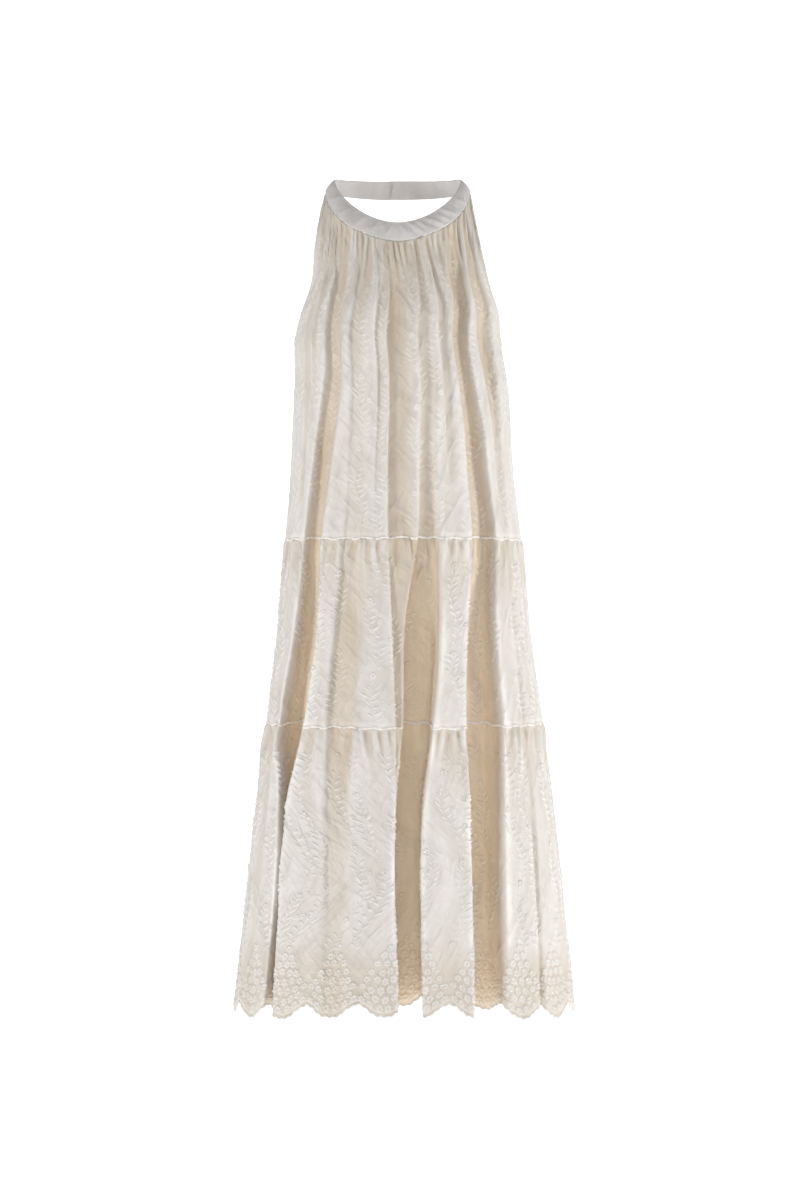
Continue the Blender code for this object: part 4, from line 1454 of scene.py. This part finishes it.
# %% Weave group
def make_weave():
    """Height: sine across times sine down, plus yarn noise. Tone: the yarn noise alone."""
    group, given, result = new_group(
        "weave",
        (("Place", "Vector", (0.0, 0.0, 0.0)), ("Threads per metre", "Float", 1900.0)),
        (("Height", "Float"), ("Tone", "Float")),
    )
    parts = group.nodes.new("ShaderNodeSeparateXYZ")
    group.links.new(given["Place"], parts.inputs[0])
    turns = calculate(group, "MULTIPLY", given["Threads per metre"], pi)
    across, down = (calculate(group, "SINE", calculate(group, "MULTIPLY", part, turns))
                    for part in parts.outputs[:2])
    crossed = calculate(group, "MULTIPLY", across, down)
    warp, weft = (noise(group, stretch(group, given["Place"], drawn), 1.0, 2.0)
                  for drawn in ((900.0, 60.0, 1.0), (60.0, 900.0, 1.0)))
    yarn = calculate(group, "MULTIPLY", calculate(group, "ADD", warp, weft), 0.5)
    put(group, result["Height"], calculate(group, "MULTIPLY_ADD", crossed, 0.35, yarn))
    put(group, result["Tone"], yarn)
    return group


weave = make_weave()


# %% Crumple group
CRUMPLE_LAYERS = ((0.35, (1.0, 0.30, 1.0)), (-0.85, (1.1, 0.38, 1.0)))
CLOUD_DRAWN = (1.0, 0.35, 1.0)
CLOUDS_PER_METRE = 34.0


def make_crumple():
    """Height: two ridged noises, the cube of 1 - |2n - 1|, drawn out and turned each way."""
    group, given, result = new_group(
        "crumple",
        (("Place", "Vector", (0.0, 0.0, 0.0)), ("Creases per metre", "Float", 30.0)),
        (("Height", "Float"), ("Cloud", "Float")),
    )
    ridges = []
    for slant, scale in CRUMPLE_LAYERS:
        place = stretch(group, turned(group, given["Place"], slant), scale)
        value = noise(group, place, given["Creases per metre"], 3.0, 0.45)
        bent = calculate(group, "ABSOLUTE", calculate(group, "MULTIPLY_ADD", value, 2.0, -1.0))
        ridges.append(calculate(group, "POWER", calculate(group, "SUBTRACT", 1.0, bent), 3.0))
    put(group, result["Height"], calculate(group, "MULTIPLY_ADD", ridges[1], 0.8, ridges[0]))
    drawn = stretch(group, given["Place"], CLOUD_DRAWN)
    put(group, result["Cloud"], noise(group, drawn, CLOUDS_PER_METRE, 2.0))
    return group


crumple = make_crumple()


# %% Fold tint group
def make_painted_fold_tint():
    """Colour: the lit colour, then painted shade and a warm painted glow by the fold share, a
    painted highlight on lips, and random Shade in clouds.
    """
    group, given, result = new_group(
        "painted fold light",
        (
            ("Depth", "Float", 0.0),
            ("Tone", "Float", 0.5),
            ("PaintedHighlight", "Color", (0.88, 0.862, 0.836, 1.0)),
            ("Lit", "Color", (0.8, 0.8, 0.8, 1.0)),
            ("Slope", "Color", (0.6, 0.55, 0.5, 1.0)),
            ("Hollow", "Color", (0.6, 0.5, 0.4, 1.0)),
            ("Shade", "Color", (0.7, 0.7, 0.7, 1.0)),
        ),
        (("Colour", "Color"),),
    )
    # The shares of painted shade on slopes, painted glow deep in hollows and painted highlight on
    # lips.
    slope = limited(group, calculate(group, "MULTIPLY", given["Depth"], 2.0))
    hollow = limited(group, calculate(group, "MULTIPLY_ADD", given["Depth"], 2.2, -1.1))
    painted_highlight_share = limited(group, calculate(group, "MULTIPLY", given["Depth"], -2.0))
    cloth = blend_colour(group, painted_highlight_share, given["Lit"], given["PaintedHighlight"])
    cloth = blend_colour(group, slope, cloth, given["Slope"])
    cloth = blend_colour(group, hollow, cloth, given["Hollow"])
    tone = limited(group, calculate(group, "MULTIPLY_ADD", given["Tone"], 2.2, -0.75))
    put(group, result["Colour"], blend_colour(group, tone, cloth, given["Shade"], "MULTIPLY"))
    return group


painted_fold_tint = make_painted_fold_tint()
print("node groups:", [group.name for group in (weave, crumple, painted_fold_tint)])

# %% [markdown]
# ## The materials
#
# The cotton is rough with a faint sheen from its fibres. The neckband is the same yarn in a
# closer weave, cooler and smoother, so its creases glint. Embroidery thread has a soft shine,
# and its satin stitches run across each leaf and petal as fine ridges.

# %% Cloth material
def place_group(tree, group, **values):
    """Put a node group in a material and set its inputs by name, with _ for a space."""
    node = tree.nodes.new("ShaderNodeGroup")
    node.node_tree = group
    for name, value in values.items():
        put(tree, node.inputs[name.replace("_", " ")], value)
    return node.outputs


def bump(tree, height, distance, strength, normal=None):
    """Add a Bump node and return its normal."""
    node = tree.nodes.new("ShaderNodeBump")
    node.inputs["Distance"].default_value = distance
    node.inputs["Strength"].default_value = strength
    put(tree, node.inputs["Height"], height)
    if normal is not None:
        put(tree, node.inputs["Normal"], normal)
    return node.outputs[0]


def start_material(name, roughness, sheen, specular):
    """Start a material and set the shader's constant sockets."""
    made = bpy.data.materials.new(name)
    made.use_nodes = True
    shader = made.node_tree.nodes["Principled BSDF"]
    shader.inputs["Roughness"].default_value = roughness
    shader.inputs["Sheen Weight"].default_value = sheen
    shader.inputs["Sheen Roughness"].default_value = 0.5
    shader.inputs["Specular IOR Level"].default_value = specular
    return made, made.node_tree, shader.inputs


def read_cloth(tree):
    """Read the place on the flat cloth and the share of painted fold light and shade of the point.
    """
    place = tree.nodes.new("ShaderNodeUVMap")
    place.uv_map = "cloth"
    fold = tree.nodes.new("ShaderNodeAttribute")
    fold.attribute_name = "painted_light"
    return place.outputs[0], fold.outputs["Fac"]


def vary_roughness(tree, shader, value, span, least):
    """Let the roughness follow a value from 0 to 1: span times the value, plus the least."""
    put(tree, shader["Roughness"], calculate(tree, "MULTIPLY_ADD", value, span, least))


def cloth_material(name, lit, roughness, threads, creases, crease_depth):
    """Make a woven cloth from its lit colour, its thread count and its creases."""
    made, tree, shader = start_material(name, roughness, 0.15, 0.3)
    place, fold = read_cloth(tree)
    woven = place_group(tree, weave, Place=place, Threads_per_metre=threads)
    creased = place_group(tree, crumple, Place=place, Creases_per_metre=creases)
    # The colour gets painted shade, painted glow and painted highlight from the fold share.
    tint = place_group(
        tree, painted_fold_tint, Depth=fold, Tone=creased["Cloud"],
        Lit=lit, Slope=PAINTED_SHADE_COLOUR, Hollow=PAINTED_GLOW_COLOUR, Shade=SHADE_COLOUR,
    )
    put(tree, shader["Base Color"], tint["Colour"])
    vary_roughness(tree, shader, woven["Tone"], 0.2, roughness - 0.1)
    normal = bump(tree, creased["Height"], crease_depth, 0.6)
    put(tree, shader["Normal"], bump(tree, woven["Height"], 0.0002, 0.5, normal))
    return made


# Painted light in the cotton's colour: a darker painted shade on fold slopes and in gather
# valleys, and a warm painted glow deep in recesses. SHADE_COLOUR is the random tone of the clouds.
SHADE_COLOUR = (0.87, 0.845, 0.81, 1.0)
PAINTED_SHADE_COLOUR = (0.645, 0.557, 0.450, 1.0)
PAINTED_GLOW_COLOUR = (0.88, 0.745, 0.58, 1.0)
cotton = cloth_material("cotton", (0.735, 0.706, 0.676, 1.0), 0.85, 1900.0, 34.0, 0.0034)
# The seam cotton is the dress cotton in a lighter colour, a painted highlight on the seam ridge.
seam_cotton_painted_highlight = cloth_material(
    "seam_cotton_painted_highlight", (0.88, 0.855, 0.825, 1.0), 0.80, 1900.0, 60.0, 0.0008)
band_cotton = cloth_material(
    "band_cotton", (0.68, 0.665, 0.665, 1.0), 0.42, 2600.0, 40.0, 0.0016)
print("cloth materials:", cotton.name, seam_cotton_painted_highlight.name, band_cotton.name)


# %% Thread material
def make_thread():
    """Make embroidery thread: stripes of the stitch's width across each motif, a soft shine."""
    made, tree, shader = start_material("thread", 0.48, 0.2, 0.45)
    place, fold = read_cloth(tree)
    stripes = place_group(tree, weave, Place=stretch(tree, place, (0.15, 1.0, 1.0)),
                          Threads_per_metre=2400.0)
    body = tree.nodes.new("ShaderNodeTexCoord").outputs["Object"]
    # The thread gets the same painted fold shade and painted glow, in its own colours.
    tint = place_group(tree, painted_fold_tint, Depth=fold, Tone=noise(tree, body, 22.0, 2.0),
                       Lit=(0.775, 0.750, 0.722, 1.0), Slope=(0.675, 0.592, 0.490, 1.0),
                       Hollow=(0.89, 0.765, 0.61, 1.0), Shade=(0.95, 0.94, 0.92, 1.0))
    put(tree, shader["Base Color"], tint["Colour"])
    vary_roughness(tree, shader, stripes["Tone"], 0.3, 0.35)
    put(tree, shader["Normal"], bump(tree, stripes["Height"], 0.00025, 0.6))
    return made


def make_shell():
    """Make the button's shell: pale layers from a stretched noise, smooth and shiny."""
    made, tree, shader = start_material("button_shell", 0.22, 0.0, 0.5)
    body = tree.nodes.new("ShaderNodeTexCoord").outputs["Object"]
    layers = noise(tree, stretch(tree, body, (1.0, 1.0, 3.0)), 420.0, 3.0)
    pale = blend_colour(tree, layers, (0.84, 0.80, 0.74, 1.0), (0.70, 0.68, 0.66, 1.0))
    put(tree, shader["Base Color"], pale)
    vary_roughness(tree, shader, layers, 0.2, 0.12)
    return made


thread = make_thread()
button_shell = make_shell()
print("thread and shell:", thread.name, button_shell.name)

# %% [markdown]
# ## Studio
#
# The dress is shown against plain white. A white floor runs up behind it in one curve, so no
# horizon shows. The light comes mostly from soft boxes at both sides, which make the plates'
# edges bright. A weaker one in front reaches into the recesses, and one from above picks out
# whatever stands up from the cloth, such as the seams and the small creases.

# %% Floor
FLOOR_HEIGHT = -1.47
BEND_RADIUS = 1.6
FLOOR_ENDS = (-4.5, 2.4)
WALL_TOP = 5.0


def floor():
    """Sweep a profile of a flat floor, a quarter circle and an upright wall along X."""
    bend = np.linspace(0.0, 0.5 * pi, 24)
    front, rear = FLOOR_ENDS
    y = np.concatenate([[front], rear + BEND_RADIUS * np.sin(bend), [rear + BEND_RADIUS]])
    z = np.concatenate([[0.0], BEND_RADIUS - BEND_RADIUS * np.cos(bend), [WALL_TOP]])
    x, y = np.meshgrid(np.linspace(-6.0, 6.0, 9), y)
    z = np.repeat(z[:, None] + FLOOR_HEIGHT, x.shape[1], axis=1)
    points = np.stack([x, y, z], axis=-1)[::-1]
    thing = link(quad_mesh("floor", points, grid_quads(*x.shape), points[..., :2]))
    made, tree, shader = start_material("floor_paint", 0.7, 0.0, 0.2)
    speck = noise(tree, tree.nodes.new("ShaderNodeTexCoord").outputs["Object"], 3.0, 2.0)
    white = blend_colour(tree, speck, (0.95, 0.95, 0.95, 1.0), (0.97, 0.97, 0.97, 1.0))
    put(tree, shader["Base Color"], white)
    shader["Emission Color"].default_value = (1.0, 1.0, 1.0, 1.0)
    shader["Emission Strength"].default_value = 0.80
    thing.data.materials.append(made)


floor()
print("floor at", FLOOR_HEIGHT)

# %% Lights
AIM = (0.0, 0.0, -0.55)
# One light: its name, place, width and height, power, and the green and blue of its colour.
SOFTBOXES = (
    ("left_softbox", (-2.2, -1.5, -0.15), (0.6, 1.3), 24.0, (0.99, 0.975)),
    ("right_softbox", (2.4, -0.7, -0.25), (0.6, 1.6), 31.0, (0.985, 0.965)),
    ("front_softbox", (0.3, -3.4, -0.7), (1.0, 1.2), 11.5, (0.99, 0.975)),
    ("top_softbox", (-0.3, -1.7, 1.8), (1.2, 0.5), 8.0, (0.99, 0.975)),
)
WORLD_STRENGTH = 0.16

for name, place, size, power, tint in SOFTBOXES:
    data = bpy.data.lights.new(name, "AREA")
    data.shape = "RECTANGLE"
    data.size, data.size_y = size
    data.energy = power
    data.color = (1.0, *tint)
    light = bpy.data.objects.new(name, data)
    away = np.array(place) - np.array(AIM)
    rise = np.arctan2(away[2], np.hypot(away[0], away[1]))
    light.location = place
    light.rotation_euler = (0.5 * pi - rise, 0.0, np.arctan2(away[0], -away[1]))
    bpy.context.scene.collection.objects.link(light)
    print(name, power, "W")

world = bpy.data.worlds.new("studio")
world.use_nodes = True
background = world.node_tree.nodes["Background"].inputs
background["Color"].default_value = (1.0, 1.0, 1.0, 1.0)
background["Strength"].default_value = WORLD_STRENGTH
bpy.context.scene.world = world
bpy.context.scene.view_settings.view_transform = "Standard"

# %% [markdown]
# ## Materials
# #
# # Every piece gets its material.

# %% Finishes
def finish_with(pieces, material):
    """Give pieces a material."""
    for piece in pieces:
        piece.data.materials.append(material)


finish_with(list(panels.values()) + edges, cotton)
finish_with(seams, seam_cotton_painted_highlight)
finish_with([band], band_cotton)
finish_with(embroidery + [topstitching] + bars, thread)
finish_with([button], button_shell)

for name, panel in panels.items():
    _, width, length = SURFACES[name]

# %% Triangles shown
depsgraph = bpy.context.evaluated_depsgraph_get()
total = 0
for thing in bpy.context.scene.objects:
    if thing.type == "MESH" and not thing.hide_render:
        ready = thing.evaluated_get(depsgraph).to_mesh()
        ready.calc_loop_triangles()
        total += len(ready.loop_triangles)
print("triangles shown:", total)
